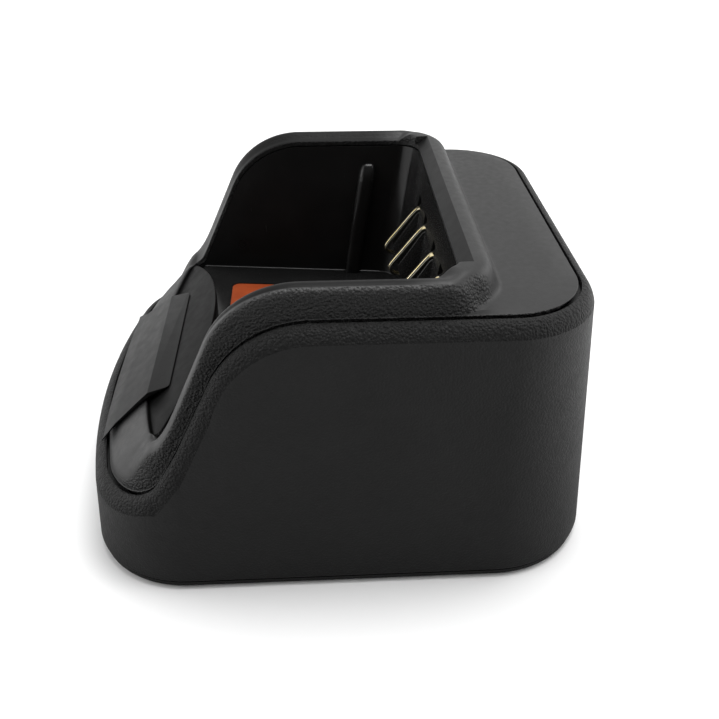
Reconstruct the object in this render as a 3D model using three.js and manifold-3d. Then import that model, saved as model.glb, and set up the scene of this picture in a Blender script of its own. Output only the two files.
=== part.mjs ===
// Desktop charging cradle for a two-way radio, with one pocket that leans back.
// Millimetres, +Z up, the front faces -Y. The origin is the centre of the footprint on the table.

import * as THREE from "three";
import { mergeVertices } from "three/addons/utils/BufferGeometryUtils.js";
import Module from "manifold-3d";

const wasm = await Module();
wasm.setup();

// ---- Driving dimensions ----

// The parting line between the lower housing and the top cover, seen from above at deck height.
const SEAM = { halfWidth: 43, frontY: -47.2, rearY: 47.4, frontRadius: 14, rearRadius: 15, bulge: 147.6 };
const DECK_Z = 58;
const SEAM_LOW_Z = 19.1;
const FLARE = 4.1 / 55.6; // how fast the side walls lean outwards going down
const BAND = 3.1; // width of the rounded edge below the parting line
const GROOVE = 0.35; // half of the visible groove at the parting line

// Side view of the parting line and of the rim crest: level, a round bend, a straight slope, a bend, level.
const CREST_Z = 64.3;
const SEAM_CURVE = { high: DECK_Z, low: SEAM_LOW_Z, y: -26.5, z: 38.6, angle: 64, topRadius: 21, lowRadius: 9 };
const CREST_CURVE = { ...SEAM_CURVE, high: CREST_Z, y: -27.1, z: 44.8, angle: 65.5, topRadius: 19, lowRadius: 5 };

// The raised collar round the pocket, and the pocket opening inside it.
const COLLAR = { halfWidth: 42.5, frontY: -46.7, rearY: 32.5, frontRadius: 13.5, rearRadius: 12, bulge: 147.1 };
const OPENING = { halfWidth: 36.9, frontY: -41, rearY: 23.5, frontRadius: 2.5, rearRadius: 5, bulge: 138 };
const LIP = 1.2;

// The front panel lies on this sloping plane.
const PANEL_Y = -27;
const PANEL_Z = 35.5;
const PANEL_SLOPE = 0.78;
const PANEL_THICKNESS = 2;
const PANEL_ARCH_RADIUS = 84;
const PANEL_ARCH_Y = -26;

// The pocket that takes the radio.
const LEAN = Math.tan(THREE.MathUtils.degToRad(7.6));
const FLOOR_TILT = Math.tan(THREE.MathUtils.degToRad(3.4));
const FLOOR_Z = 27.6; // at y = 0
const FLOOR_THICKNESS = 1.6;
const POCKET_HALF_WIDTH = 36.6;
const POCKET_WALL = 1;
const POCKET_REAR_Y = 18.7; // at floor height
const CONTACT_X = [-18, -7, 7, 18];

// Base, feet and screws.
const HOUSING_BOTTOM_Z = 1.8;
const HOUSING_WALL = 2.4;
const PLATE_BOTTOM_Z = 0.4;
const PLATE_RIM_TOP_Z = 1.5;
const PLATE_TOP_Z = 3.4;
const BOSS_TOP_Z = 14;
const BOSS_CENTRES = [[-39.8, 43.7], [39.8, 43.7], [-40.1, -39.2], [40.1, -39.2]];
const FOOT_CENTRES = [[-27, 38], [27, 38], [-27, -38], [27, -38]];
const FOOT_RADIUS = 5;
const CLEAR = 0.3;

// Circuit board and power inlet.
const BOARD = { halfWidth: 26, frontY: -46.5, rearY: 46.5, bottomZ: 8, thickness: 1.6 };
const BOARD_TOP_Z = BOARD.bottomZ + BOARD.thickness;
const STANDOFFS = [[-21, 34], [21, 34], [-21, -32], [21, -32]];
const JACK_Z = 16;
const JACK_TOP_Z = 20.9;
const JACK_HALF_WIDTH = 4.6;
const JACK_FACE_Y = 49;

// ---- Curves ----

const mix = (a, b, t) => a + (b - a) * t;

function smoothstep(low, high, value) {
  const t = THREE.MathUtils.clamp((value - low) / (high - low), 0, 1);
  return t * t * (3 - 2 * t);
}

function smoothMax(a, b, radius) {
  const h = Math.max(radius - Math.abs(a - b), 0) / radius;
  return Math.max(a, b) + (h * h * radius) / 4;
}

// Height of a level, bend, slope, bend, level curve at the position y.
function curveHeight(curve, y) {
  const angle = THREE.MathUtils.degToRad(curve.angle);
  const slope = Math.tan(angle);
  const topStart = curve.y + (curve.high - curve.z) / slope + curve.topRadius * Math.tan(angle / 2);
  const lowStart = curve.y - (curve.z - curve.low) / slope - curve.lowRadius * Math.tan(angle / 2);
  if (y >= topStart) return curve.high;
  if (y <= lowStart) return curve.low;
  const topReach = curve.topRadius * Math.sin(angle);
  if (topStart - y < topReach) {
    return curve.high - curve.topRadius + Math.sqrt(curve.topRadius ** 2 - (topStart - y) ** 2);
  }
  const lowReach = curve.lowRadius * Math.sin(angle);
  if (y - lowStart < lowReach) {
    return curve.low + curve.lowRadius - Math.sqrt(curve.lowRadius ** 2 - (y - lowStart) ** 2);
  }
  return curve.z + (y - curve.y) * slope;
}

const seamHeight = (y) => curveHeight(SEAM_CURVE, y);
const panelHeight = (y) => PANEL_Z + PANEL_SLOPE * (y - PANEL_Y);
const floorHeight = (y) => FLOOR_Z - FLOOR_TILT * y;

// A height over the panel's plane, level behind the panel.
const overPanel = (y, above) => panelHeight(Math.min(y, -24)) + above;

// The rim's crest; low at the front it runs just above the panel's plane.
function crestHeight(y) {
  return smoothMax(curveHeight(CREST_CURVE, y), overPanel(y, 1), 3);
}

// Cross-sections of the rim from its foot to the opening: fractions of its width and of its height.
const RIM_SIDE = { across: [0, 0.06, 0.2, 0.5, 0.8, 1], up: [0, 0.62, 0.88, 1, 0.88, 0.72] };
const RIM_REAR = { across: [0, 0.12, 0.3, 0.5, 0.75, 1], up: [0, 0.13, 0.68, 1.06, 1.04, 0.77] };
const RIM_FRONT = { across: [0, 0.2, 0.4, 0.6, 0.8, 1], up: [0, 0.2, 0.4, 0.6, 0.8, 1] };

// The inner edge of the rim along the sides; it stays above the panel's plane.
function sideEdgeHeight(y) {
  const edge = mix(seamHeight(y), crestHeight(y), RIM_SIDE.up.at(-1));
  return Math.max(edge, overPanel(y, 0.4));
}

// The centre of an outline's front corner, and how far the front has turned where it meets that corner.
function frontCorner({ halfWidth, frontY, frontRadius, bulge }) {
  const x = halfWidth - frontRadius;
  const reach = bulge - frontRadius;
  return { x, y: frontY + bulge - Math.sqrt(reach ** 2 - x ** 2), bend: Math.asin(x / reach) };
}

// Points round a plan outline, each with its outward normal, starting at the middle of the front.
// Outlines made here have matching points, so rings of them can be joined.
function outline(shape) {
  const { halfWidth, frontY, rearY, frontRadius, rearRadius, bulge } = shape;
  const half = [];
  const corner = frontCorner(shape);
  const seamCorner = frontCorner(SEAM);
  const add = (x, y, nx, ny) => half.push({ x, y, nx, ny });
  const arcSteps = 5;
  for (let i = 0; i < arcSteps; i++) {
    const t = (corner.bend * i) / arcSteps;
    add(bulge * Math.sin(t), frontY + bulge * (1 - Math.cos(t)), Math.sin(t), -Math.cos(t));
  }
  // A smaller corner ends sooner. From there on, its points stand beside those of the parting line's corner.
  const cornerSteps = 8;
  const lastTurn = Math.acos(THREE.MathUtils.clamp((seamCorner.y - corner.y) / SEAM.frontRadius, 0, 1));
  for (let i = 0; i <= cornerSteps; i++) {
    const seamTurn = mix(seamCorner.bend, Math.PI / 2, i / cornerSteps);
    if (seamTurn <= lastTurn + 0.001) {
      const t = mix(corner.bend, Math.PI / 2, (seamTurn - seamCorner.bend) / (lastTurn - seamCorner.bend));
      const [across, back] = [Math.sin(t), -Math.cos(t)];
      add(corner.x + frontRadius * across, corner.y + frontRadius * back, across, back);
    } else {
      add(halfWidth, seamCorner.y - SEAM.frontRadius * Math.cos(seamTurn), 1, 0);
    }
  }
  const slopeFrontY = -29;
  const slopeRearY = 0;
  const slopeSteps = 9;
  for (let i = 0; i <= slopeSteps; i++) {
    add(halfWidth, mix(slopeFrontY, slopeRearY, i / slopeSteps), 1, 0);
  }
  const rearStartY = rearY - rearRadius;
  add(halfWidth, mix(slopeRearY, rearStartY, 0.5), 1, 0);
  for (let i = 0; i <= cornerSteps; i++) {
    const t = (Math.PI / 2) * (i / cornerSteps);
    const x = halfWidth - rearRadius + rearRadius * Math.cos(t);
    add(x, rearStartY + rearRadius * Math.sin(t), Math.cos(t), Math.sin(t));
  }
  add((halfWidth - rearRadius) / 2, rearY, 0, 1);
  const mirrored = half.slice(1).reverse().map((p) => ({ x: -p.x, y: p.y, nx: -p.nx, ny: p.ny }));
  return [...half, { x: 0, y: rearY, nx: 0, ny: 1 }, ...mirrored];
}

const moved = (p, distance) => ({ ...p, x: p.x + p.nx * distance, y: p.y + p.ny * distance });
const at = (p, z) => new THREE.Vector3(p.x, p.y, z);

// The parting line as a ring of points in space, each with z and its steepness along the ring.
function seamRing() {
  const ring = outline(SEAM).map((p) => {
    const z = seamHeight(p.y);
    return { ...moved(p, FLARE * (DECK_Z - z)), z };
  });
  return ring.map((p, i) => {
    const before = ring.at(i - 1);
    const after = ring[(i + 1) % ring.length];
    const run = Math.hypot(after.x - before.x, after.y - before.y);
    return { ...p, steepness: Math.hypot(1, (after.z - before.z) / run) };
  });
}

// ---- Solids ----

const TO_SIDE_VIEW = new THREE.Matrix4().makeBasis(
  new THREE.Vector3(0, 1, 0),
  new THREE.Vector3(0, 0, 1),
  new THREE.Vector3(1, 0, 0),
);

function toSolid(geometry) {
  const bare = geometry.clone();
  bare.deleteAttribute("normal");
  bare.deleteAttribute("uv");
  const merged = mergeVertices(bare, 1e-5);
  return new wasm.Manifold(
    new wasm.Mesh({
      numProp: 3,
      vertProperties: new Float32Array(merged.attributes.position.array),
      triVerts: new Uint32Array(merged.index.array),
    }),
  );
}

function toGeometry(solid) {
  const { vertProperties, triVerts } = solid.getMesh();
  const geometry = new THREE.BufferGeometry();
  geometry.setAttribute("position", new THREE.BufferAttribute(vertProperties, 3));
  geometry.setIndex(new THREE.BufferAttribute(triVerts, 1));
  return geometry;
}

// A solid skinned over rings of matching points, the last ring joined to the first.
function ringLoft(rings) {
  const count = rings[0].length;
  const positions = rings.flat().flatMap((p) => [p.x, p.y, p.z]);
  const index = [];
  rings.forEach((_, k) => {
    const here = k * count;
    const there = ((k + 1) % rings.length) * count;
    for (let i = 0; i < count; i++) {
      const j = (i + 1) % count;
      index.push(here + i, there + j, here + j);
      index.push(here + i, there + i, there + j);
    }
  });
  const geometry = new THREE.BufferGeometry();
  geometry.setAttribute("position", new THREE.Float32BufferAttribute(positions, 3));
  geometry.setIndex(index);
  return toSolid(geometry);
}

function shapeOf(points) {
  return new THREE.Shape(points.map(([u, v]) => new THREE.Vector2(u, v)));
}

// An upright prism over a plan outline.
function plateOf(points, bottomZ, topZ) {
  const geometry = new THREE.ExtrudeGeometry(shapeOf(points), { depth: topZ - bottomZ, bevelEnabled: false });
  return toSolid(geometry.translate(0, 0, bottomZ));
}

// A prism across the width, from a side view drawn with y and z.
function sidePrism(points, leftX, rightX) {
  const geometry = new THREE.ExtrudeGeometry(shapeOf(points), { depth: rightX - leftX, bevelEnabled: false });
  return toSolid(geometry.translate(0, 0, leftX).applyMatrix4(TO_SIDE_VIEW));
}

function box(x0, x1, y0, y1, z0, z1) {
  const geometry = new THREE.BoxGeometry(x1 - x0, y1 - y0, z1 - z0);
  return toSolid(geometry.translate((x0 + x1) / 2, (y0 + y1) / 2, (z0 + z1) / 2));
}

function uprightCylinder(x, y, radius, bottomZ, topZ, segments = 24) {
  const geometry = new THREE.CylinderGeometry(radius, radius, topZ - bottomZ, segments);
  return toSolid(geometry.rotateX(Math.PI / 2).translate(x, y, (bottomZ + topZ) / 2));
}

function lyingCylinder(x, z, radius, frontY, rearY, segments = 24) {
  const geometry = new THREE.CylinderGeometry(radius, radius, rearY - frontY, segments);
  return toSolid(geometry.translate(x, (frontY + rearY) / 2, z));
}

// Pushes every point back in proportion to its height above the floor, so walls lean with the pocket.
function leaned(solid) {
  const geometry = toGeometry(solid);
  const shear = new THREE.Matrix4().set(1, 0, 0, 0, 0, 1, LEAN, -LEAN * FLOOR_Z, 0, 0, 1, 0, 0, 0, 0, 1);
  return toSolid(geometry.applyMatrix4(shear));
}

const cut = (solid, ...tools) => tools.reduce((left, tool) => left.subtract(tool), solid);
const join = (solid, ...others) => others.reduce((sum, other) => sum.add(other), solid);

// Samples a height curve from front to rear as side-view points.
function sampled(height, frontY, rearY, steps) {
  return Array.from({ length: steps + 1 }, (_, i) => {
    const y = mix(frontY, rearY, i / steps);
    return [y, height(y)];
  });
}

// ---- Lower housing and base ----

// How far the side surface stands outside the deck-height parting line at a height.
const sideOffset = (z) => BAND + FLARE * (DECK_Z - BAND - z);

function lowerHousing() {
  const seam = seamRing();
  const base = outline(SEAM);
  const bandStep = (degrees) => {
    const angle = THREE.MathUtils.degToRad(degrees);
    const out = GROOVE + (BAND - GROOVE) * Math.sin(angle);
    const down = BAND * (1 - Math.cos(angle));
    return seam.map((p) => at(moved(p, out), p.z - down * p.steepness));
  };
  const ledgeDrop = 1.5;
  const ledgeWidth = 1.5;
  const wall = ringLoft([
    seam.map((p) => at(moved(p, GROOVE), p.z)),
    bandStep(30),
    bandStep(60),
    bandStep(90),
    base.map((p) => at(moved(p, sideOffset(HOUSING_BOTTOM_Z)), HOUSING_BOTTOM_Z)),
    base.map((p) => at(moved(p, sideOffset(HOUSING_BOTTOM_Z) - HOUSING_WALL), HOUSING_BOTTOM_Z)),
    seam.map((p) => at(moved(p, GROOVE - ledgeWidth), p.z - ledgeDrop * p.steepness)),
    seam.map((p) => at(moved(p, GROOVE), p.z - ledgeDrop * p.steepness)),
  ]);
  const bosses = BOSS_CENTRES.map(([x, y]) => uprightCylinder(x, y, 4.2, PLATE_TOP_Z + CLEAR, BOSS_TOP_Z));
  const pilots = BOSS_CENTRES.map(([x, y]) => uprightCylinder(x, y, 1.5, 0, BOSS_TOP_Z - 2, 16));
  const windowHalf = JACK_HALF_WIDTH + CLEAR;
  const window = box(-windowHalf, windowHalf, 40, 60, BOARD_TOP_Z - CLEAR, JACK_TOP_Z + CLEAR);
  return cut(join(wall, ...bosses), ...pilots, window);
}

const plan = (ring) => ring.map((p) => [p.x, p.y]);

function basePlate() {
  const outer = outline(SEAM).map((p) => moved(p, sideOffset(HOUSING_BOTTOM_Z) - 0.5));
  const spigot = outline(SEAM).map((p) => moved(p, sideOffset(HOUSING_BOTTOM_Z) - HOUSING_WALL - CLEAR - 0.2));
  const rim = plateOf(plan(outer), PLATE_BOTTOM_Z, PLATE_RIM_TOP_Z);
  const inner = plateOf(plan(spigot), PLATE_BOTTOM_Z, PLATE_TOP_Z);
  const floorTop = PLATE_BOTTOM_Z + 1.8;
  const posts = STANDOFFS.map(([x, y]) => uprightCylinder(x, y, 3, floorTop - 0.3, BOARD.bottomZ, 20));
  const postPilots = STANDOFFS.map(([x, y]) => uprightCylinder(x, y, 1.35, PLATE_TOP_Z, 20, 12));
  const screwHoles = BOSS_CENTRES.map(([x, y]) => uprightCylinder(x, y, 1.7, 0, 20, 16));
  const headRecesses = BOSS_CENTRES.map(([x, y]) => uprightCylinder(x, y, 3.3, 0, PLATE_BOTTOM_Z + 1.4));
  const footRecesses = FOOT_CENTRES.map(([x, y]) =>
    uprightCylinder(x, y, FOOT_RADIUS + CLEAR, 0, PLATE_BOTTOM_Z + 1));
  const hollow = plateOf(plan(outline(SEAM).map((p) => moved(p, 1))), floorTop, PLATE_TOP_Z + 1);
  const collars = BOSS_CENTRES.map(([x, y]) =>
    uprightCylinder(x, y, 4, PLATE_BOTTOM_Z + 1, PLATE_TOP_Z).intersect(inner));
  const tray = join(cut(join(rim, inner), hollow), ...posts, ...collars);
  return cut(tray, ...postPilots, ...screwHoles, ...headRecesses, ...footRecesses);
}

function foot([x, y]) {
  return uprightCylinder(x, y, FOOT_RADIUS, 0, PLATE_BOTTOM_Z + 1);
}

function caseScrew([x, y]) {
  const headTop = PLATE_BOTTOM_Z + 1.4;
  const head = uprightCylinder(x, y, 2.9, headTop - 1.2, headTop);
  const shank = uprightCylinder(x, y, 1.2, headTop - 0.2, 11, 16);
  const driveA = box(x - 1.7, x + 1.7, y - 0.3, y + 0.3, 0, headTop - 0.5);
  const driveB = box(x - 0.3, x + 0.3, y - 1.7, y + 1.7, 0, headTop - 0.5);
  return cut(join(head, shank), driveA, driveB);
}

function ratingLabel() {
  return box(-20, 20, -14, 14, PLATE_BOTTOM_Z - 0.2, PLATE_BOTTOM_Z);
}

// ---- Top cover ----

function topCover() {
  const seam = seamRing();
  const collar = outline(COLLAR);
  const opening = outline(OPENING);
  const footRise = 0.2;
  const edge = seam.map((p) => ({ ...moved(p, -GROOVE), rise: footRise }));
  const foot = collar.map((p, i) => moved(p, FLARE * (DECK_Z - seam[i].z)));
  const rimRow = (row) => opening.map((inner, i) => {
    const rear = smoothstep(0.15, 0.85, edge[i].ny);
    const front = smoothstep(0.25, 0.85, -edge[i].ny);
    const blend = (key) => mix(mix(RIM_SIDE[key][row], RIM_REAR[key][row], rear), RIM_FRONT[key][row], front);
    const across = blend("across");
    const footZ = seam[i].z + footRise;
    const lowest = row < 5 ? footZ : overPanel(inner.y, 0.4);
    const z = Math.max(mix(footZ, crestHeight(inner.y), blend("up")), lowest);
    return new THREE.Vector3(mix(foot[i].x, inner.x, across), mix(foot[i].y, inner.y, across), z);
  });
  const openingEdge = rimRow(5);
  const lipWidth = 1.3;
  const skirtDrop = 2.6;
  const dropped = (ring, drop) => ring.map((p, i) => at(p, p.z - drop * seam[i].steepness));
  const lipStep = opening.map((p, i) => at(moved(p, lipWidth), openingEdge[i].z));
  const shellRow = (ring, inset) => ring.map((p, i) =>
    at(moved(p, -inset), seam[i].z + footRise - 1.9 * seam[i].steepness));
  const rings = [
    openingEdge,
    rimRow(4),
    rimRow(3),
    rimRow(2),
    rimRow(1),
    rimRow(0),
    edge.map((p) => at(p, p.z)),
    edge.map((p) => at(p, p.z - 1.1 * p.steepness)),
    shellRow(edge, 2),
    shellRow(foot, 2.4),
    dropped(lipStep, LIP + skirtDrop),
    dropped(lipStep, LIP),
    dropped(openingEdge, LIP),
  ];
  return cut(ringLoft(rings), box(-14.3, 14.3, -46.8, -44.2, 0, 40));
}

// ---- Front panel, nameplate and light guide ----

// Plan of the panel: an arched rear edge, short sides and a front edge that follows the opening.
function panelPlan(inset, sideInset = inset) {
  const half = OPENING.halfWidth - 0.6 - sideInset;
  const archSteps = 10;
  const arch = Array.from({ length: archSteps + 1 }, (_, i) => {
    const x = mix(half, -half, i / archSteps);
    const sag = PANEL_ARCH_RADIUS - Math.sqrt(PANEL_ARCH_RADIUS ** 2 - x ** 2);
    return [x, PANEL_ARCH_Y - inset - sag];
  });
  const frontSteps = 8;
  const front = Array.from({ length: frontSteps + 1 }, (_, i) => {
    const x = mix(-half, half, i / frontSteps);
    const sag = OPENING.bulge - Math.sqrt(OPENING.bulge ** 2 - x ** 2);
    return [x, OPENING.frontY + 0.7 + inset + sag];
  });
  return [...arch, ...front];
}

// The slab between two depths below the panel's plane.
function panelSlab(topDepth, bottomDepth) {
  const line = (depth) => [[-60, panelHeight(-60) - depth], [-20, panelHeight(-20) - depth]];
  const [topFront, topRear] = line(topDepth);
  const [bottomFront, bottomRear] = line(bottomDepth);
  return sidePrism([bottomFront, bottomRear, topRear, topFront], -50, 50);
}

function frontPanel() {
  const withinPocket = plateOf(pocketPlan(-CLEAR), 10, 60);
  return plateOf(panelPlan(0), 10, 60).intersect(withinPocket).intersect(panelSlab(0, PANEL_THICKNESS));
}

// The nameplate bends down at its fold and ends above the parting line.
const NAMEPLATE = { rearY: -34.4, foldY: -39.1, endY: -49, frontY: -49.5, foldZ: 28.8, endZ: 20.3 };
const NAMEPLATE_THICKNESS = 1.2;
const NAMEPLATE_END_THICKNESS = 0.4;
const NAMEPLATE_BULGE = 450;
const NAMEPLATE_SIDE = [[26, -49], [23.4, -46.6], [21.3, -39.1], [20.9, -35.2], [20.2, -34.4]];

// Height of the nameplate's underside in front of its fold; the plate thins towards its front edge.
function nameplateUnderside(y) {
  const { foldY, endY, foldZ, endZ } = NAMEPLATE;
  const along = (y - foldY) / (endY - foldY);
  return mix(foldZ - NAMEPLATE_THICKNESS, endZ - NAMEPLATE_END_THICKNESS, along);
}

// The space over a surface that runs a small gap below the nameplate's underside.
function overLightGuide() {
  const [rear, front] = [-42, -60].map((y) => [y, nameplateUnderside(y) - CLEAR]);
  return sidePrism([[-42, 50], [-60, 50], front, rear], -30, 30);
}

function nameplate() {
  const { rearY, foldY, endY, frontY, foldZ, endZ } = NAMEPLATE;
  const steps = 8;
  const endX = NAMEPLATE_SIDE[0][0];
  const front = Array.from({ length: steps - 1 }, (_, i) => {
    const x = mix(-endX, endX, (i + 1) / steps);
    return [x, frontY + x ** 2 / (2 * NAMEPLATE_BULGE)];
  });
  const left = NAMEPLATE_SIDE.map(([x, y]) => [-x, y]).reverse();
  const hexagon = plateOf([...left, ...front, ...NAMEPLATE_SIDE], 10, 40);
  const rearZ = panelHeight(rearY);
  const slope = (foldZ - endZ) / (foldY - endY);
  const profile = sidePrism([
    [rearY, rearZ + 0.05],
    [rearY, rearZ + 0.3],
    [foldY, foldZ],
    [endY - 3, endZ - 3 * slope],
    [endY - 3, nameplateUnderside(endY - 3)],
    [foldY, foldZ - NAMEPLATE_THICKNESS],
    [rearY - 0.3, rearZ + 0.05],
  ], -30, 30);
  return hexagon.intersect(profile);
}

function lightGuide() {
  const blade = box(-14, 14, -46.5, -44.5, 13.2, 23);
  const narrowed = join(box(-14, 14, -47, -44, 18, 30), box(-7, 7, -47, -44, 10, 19));
  return cut(blade.intersect(narrowed), overLightGuide());
}

// ---- Pocket ----

// Plan of the pocket at floor height, following the opening at a distance outside the inner wall.
function pocketPlan(outside) {
  const rearAtFloor = POCKET_REAR_Y - OPENING.rearY;
  const inner = outline({ ...OPENING, halfWidth: POCKET_HALF_WIDTH, frontY: OPENING.frontY + 0.3 });
  return inner.map((p) => {
    const grown = moved(p, outside);
    const slide = p.y > 0 ? rearAtFloor * smoothstep(0, 15, p.y) : 0;
    return [grown.x, grown.y + slide];
  });
}

// Leans only the rear half of the pocket; the front end stays upright.
function leanedRear(solid) {
  const geometry = toGeometry(solid);
  const position = geometry.attributes.position;
  for (let i = 0; i < position.count; i++) {
    if (position.getY(i) > 10) {
      position.setY(i, position.getY(i) + LEAN * (position.getZ(i) - FLOOR_Z));
    }
  }
  return toSolid(geometry);
}

// Top of the pocket's side walls, just under the cover's lip.
function linerTop(y) {
  const slope = seamHeight(y + 0.5) - seamHeight(y - 0.5);
  return sideEdgeHeight(y) - LIP * Math.hypot(1, slope) - 2 * CLEAR;
}

function pocketLiner() {
  const wallTop = [...sampled(linerTop, -45, 0, 30), [60, linerTop(0)]];
  const envelope = sidePrism([
    [-60, 18],
    [-36, 18],
    [-30, floorHeight(-30) - FLOOR_THICKNESS],
    [60, floorHeight(60) - FLOOR_THICKNESS],
    ...wallTop.slice().reverse(),
  ], -50, 50);
  const tub = leanedRear(plateOf(pocketPlan(POCKET_WALL), 10, 70)).intersect(envelope);
  const cavity = leanedRear(plateOf(pocketPlan(0), 10, 80));
  const aboveFloor = sidePrism([[-60, floorHeight(-60)], [60, floorHeight(60)], [60, 90], [-60, 90]], -50, 50);
  const belowPanel = sidePrism([
    [-60, 0],
    [-20, 0],
    [-20, panelHeight(-20) - PANEL_THICKNESS - 0.1],
    [-60, panelHeight(-60) - PANEL_THICKNESS - 0.1],
  ], -50, 50);
  const dam = plateOf(panelPlan(-0.2), 10, 60).intersect(belowPanel);
  const hollow = cut(cavity.intersect(aboveFloor), dam);
  const frontHollow = cavity.intersect(sidePrism([
    [-60, panelHeight(-60) - PANEL_THICKNESS - 0.1],
    [-24, panelHeight(-24) - PANEL_THICKNESS - 0.1],
    [-24, 90],
    [-60, 90],
  ], -50, 50));
  const coreDepth = PANEL_THICKNESS + 1.6;
  const core = plateOf(panelPlan(1.6, 8), 5, 60).intersect(sidePrism([
    [-60, 5],
    [-20, 5],
    [-20, panelHeight(-20) - coreDepth],
    [-60, panelHeight(-60) - coreDepth],
  ], -50, 50));
  const ribs = [-1, 1].map((side) => guideRib(side));
  const slots = CONTACT_X.map((x) => box(x - 1.8, x + 1.8, 12, 30, 38.5, 55.5));
  const labelRecess = floorPatch(LABEL_RECESS, -0.2, 2);
  return cut(join(cut(tub, hollow, frontHollow), ...ribs), core, labelRecess, ...slots);
}

// An upright rib that guides the side of the radio, standing near a rear corner of the pocket.
function guideRib(side) {
  const depth = 2.4;
  const outer = POCKET_HALF_WIDTH + 0.4;
  const [x0, x1] = [side * outer, side * (POCKET_HALF_WIDTH - depth)].sort((a, b) => a - b);
  const profile = [[5.4, 26], [9.6, 26], [9.6, 56], [5.4, 57.5]];
  return leaned(sidePrism(profile, x0, x1));
}

// A rounded rectangle on the pocket's floor, between two heights above the floor.
function floorPatch({ halfWidth, frontY, rearY, corner }, lower, upper) {
  const round = new THREE.Shape();
  round.moveTo(-halfWidth + corner, frontY);
  round.lineTo(halfWidth - corner, frontY);
  round.absarc(halfWidth - corner, frontY + corner, corner, -Math.PI / 2, 0);
  round.absarc(halfWidth - corner, rearY - corner, corner, 0, Math.PI / 2);
  round.absarc(-halfWidth + corner, rearY - corner, corner, Math.PI / 2, Math.PI);
  round.absarc(-halfWidth + corner, frontY + corner, corner, Math.PI, 1.5 * Math.PI);
  const upright = new THREE.ExtrudeGeometry(round, { depth: 20, bevelEnabled: false, curveSegments: 4 });
  const onFloor = (y, up) => [y, floorHeight(y) + up];
  const slab = [onFloor(-40, lower), onFloor(10, lower), onFloor(10, upper), onFloor(-40, upper)];
  return toSolid(upright.translate(0, 0, 20)).intersect(sidePrism(slab, -40, 40));
}

const LABEL = { halfWidth: 27, frontY: -24, rearY: -3, corner: 2 };
const LABEL_RECESS = { halfWidth: 27.3, frontY: -24.3, rearY: -2.7, corner: 2.3 };

function pocketLabel() {
  return floorPatch(LABEL, -0.18, -0.03);
}

// ---- Charging contacts ----

const CARRIER = { frontGap: 0.4, rearY: 28.6, bottomZ: 36.5, topZ: 56.4, halfWidth: 23 };
const SPRING_PIVOT = { y: 25, z: 52.7 };
const SPRING_WIDTH = 1.9;

// A bent strip of sheet metal: a side-view path given a thickness.
function bentStrip(path, thickness, width, x) {
  const side = (sign) => path.map(([y, z], i) => {
    const before = path[Math.max(i - 1, 0)];
    const after = path[Math.min(i + 1, path.length - 1)];
    const length = Math.hypot(after[0] - before[0], after[1] - before[1]);
    const ny = -(after[1] - before[1]) / length;
    const nz = (after[0] - before[0]) / length;
    return [y + (sign * ny * thickness) / 2, z + (sign * nz * thickness) / 2];
  });
  return sidePrism([...side(1), ...side(-1).reverse()], x - width / 2, x + width / 2);
}

function contactSpring(x) {
  const path = [
    [SPRING_PIVOT.y + 0.6, SPRING_PIVOT.z],
    [22.3, SPRING_PIVOT.z],
    [21.4, 52.2],
    [14.9, 43.8],
    [14.6, 42.8],
    [15, 41.9],
    [16, 41.3],
    [22.2, 39.9],
  ];
  return bentStrip(path, 0.45, SPRING_WIDTH, x);
}

function contactCarrier() {
  const wallBack = POCKET_REAR_Y + POCKET_WALL + CARRIER.frontGap;
  const block = sidePrism([
    [wallBack + LEAN * (CARRIER.bottomZ - FLOOR_Z), CARRIER.bottomZ],
    [CARRIER.rearY, CARRIER.bottomZ],
    [CARRIER.rearY, CARRIER.topZ],
    [wallBack + LEAN * (CARRIER.topZ - FLOOR_Z), CARRIER.topZ],
  ], -CARRIER.halfWidth, CARRIER.halfWidth);
  const cells = CONTACT_X.map((x) => box(x - 1.6, x + 1.6, 15, 27.2, 38.2, 55.4));
  const fins = CONTACT_X.flatMap((x) => [contactFin(x - 1.6), contactFin(x + 1.6)]);
  const screwHoles = [-12.5, 12.5].map((x) => lyingCylinder(x, 46, 1.4, 15, 40, 12));
  return cut(join(cut(block, ...cells), ...fins), ...screwHoles);
}

// A thin guard that stands out of the wall slot beside a contact.
function contactFin(x) {
  return sidePrism([[24, 53.8], [21.6, 52], [16.4, 44.1], [17, 39.4], [24, 38.6]], x - 0.18, x + 0.18);
}

function carrierScrew(x) {
  const head = lyingCylinder(x, 46, 2.3, CARRIER.rearY, CARRIER.rearY + 1.4, 16);
  return join(head, lyingCylinder(x, 46, 1.1, CARRIER.rearY - 5, CARRIER.rearY + 0.5, 12));
}

// ---- Electronics ----

function mainBoard() {
  const { halfWidth, frontY, rearY, bottomZ } = BOARD;
  const board = box(-halfWidth, halfWidth, frontY, rearY, bottomZ, BOARD_TOP_Z);
  return cut(board, ...STANDOFFS.map(([x, y]) => uprightCylinder(x, y, 1.5, 0, 20, 12)));
}

function boardScrew([x, y]) {
  const head = uprightCylinder(x, y, 2.3, BOARD_TOP_Z, BOARD_TOP_Z + 1.4, 16);
  return join(head, uprightCylinder(x, y, 1.1, BOARD.bottomZ - 3.5, BOARD_TOP_Z + 0.5, 12));
}

function powerJack() {
  const body = box(-JACK_HALF_WIDTH, JACK_HALF_WIDTH, 35.5, JACK_FACE_Y, BOARD_TOP_Z, JACK_TOP_Z);
  return cut(body, lyingCylinder(0, JACK_Z, 2.9, 39, 55));
}

function powerJackPin() {
  return lyingCylinder(0, JACK_Z, 0.9, 39, JACK_FACE_Y - 1, 12);
}

function statusLed(x) {
  const base = box(x - 1.6, x + 1.6, -46.2, -44.6, BOARD_TOP_Z, BOARD_TOP_Z + 0.8);
  return join(base, box(x - 1.1, x + 1.1, -46, -44.8, BOARD_TOP_Z, BOARD_TOP_Z + 1.8));
}

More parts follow.
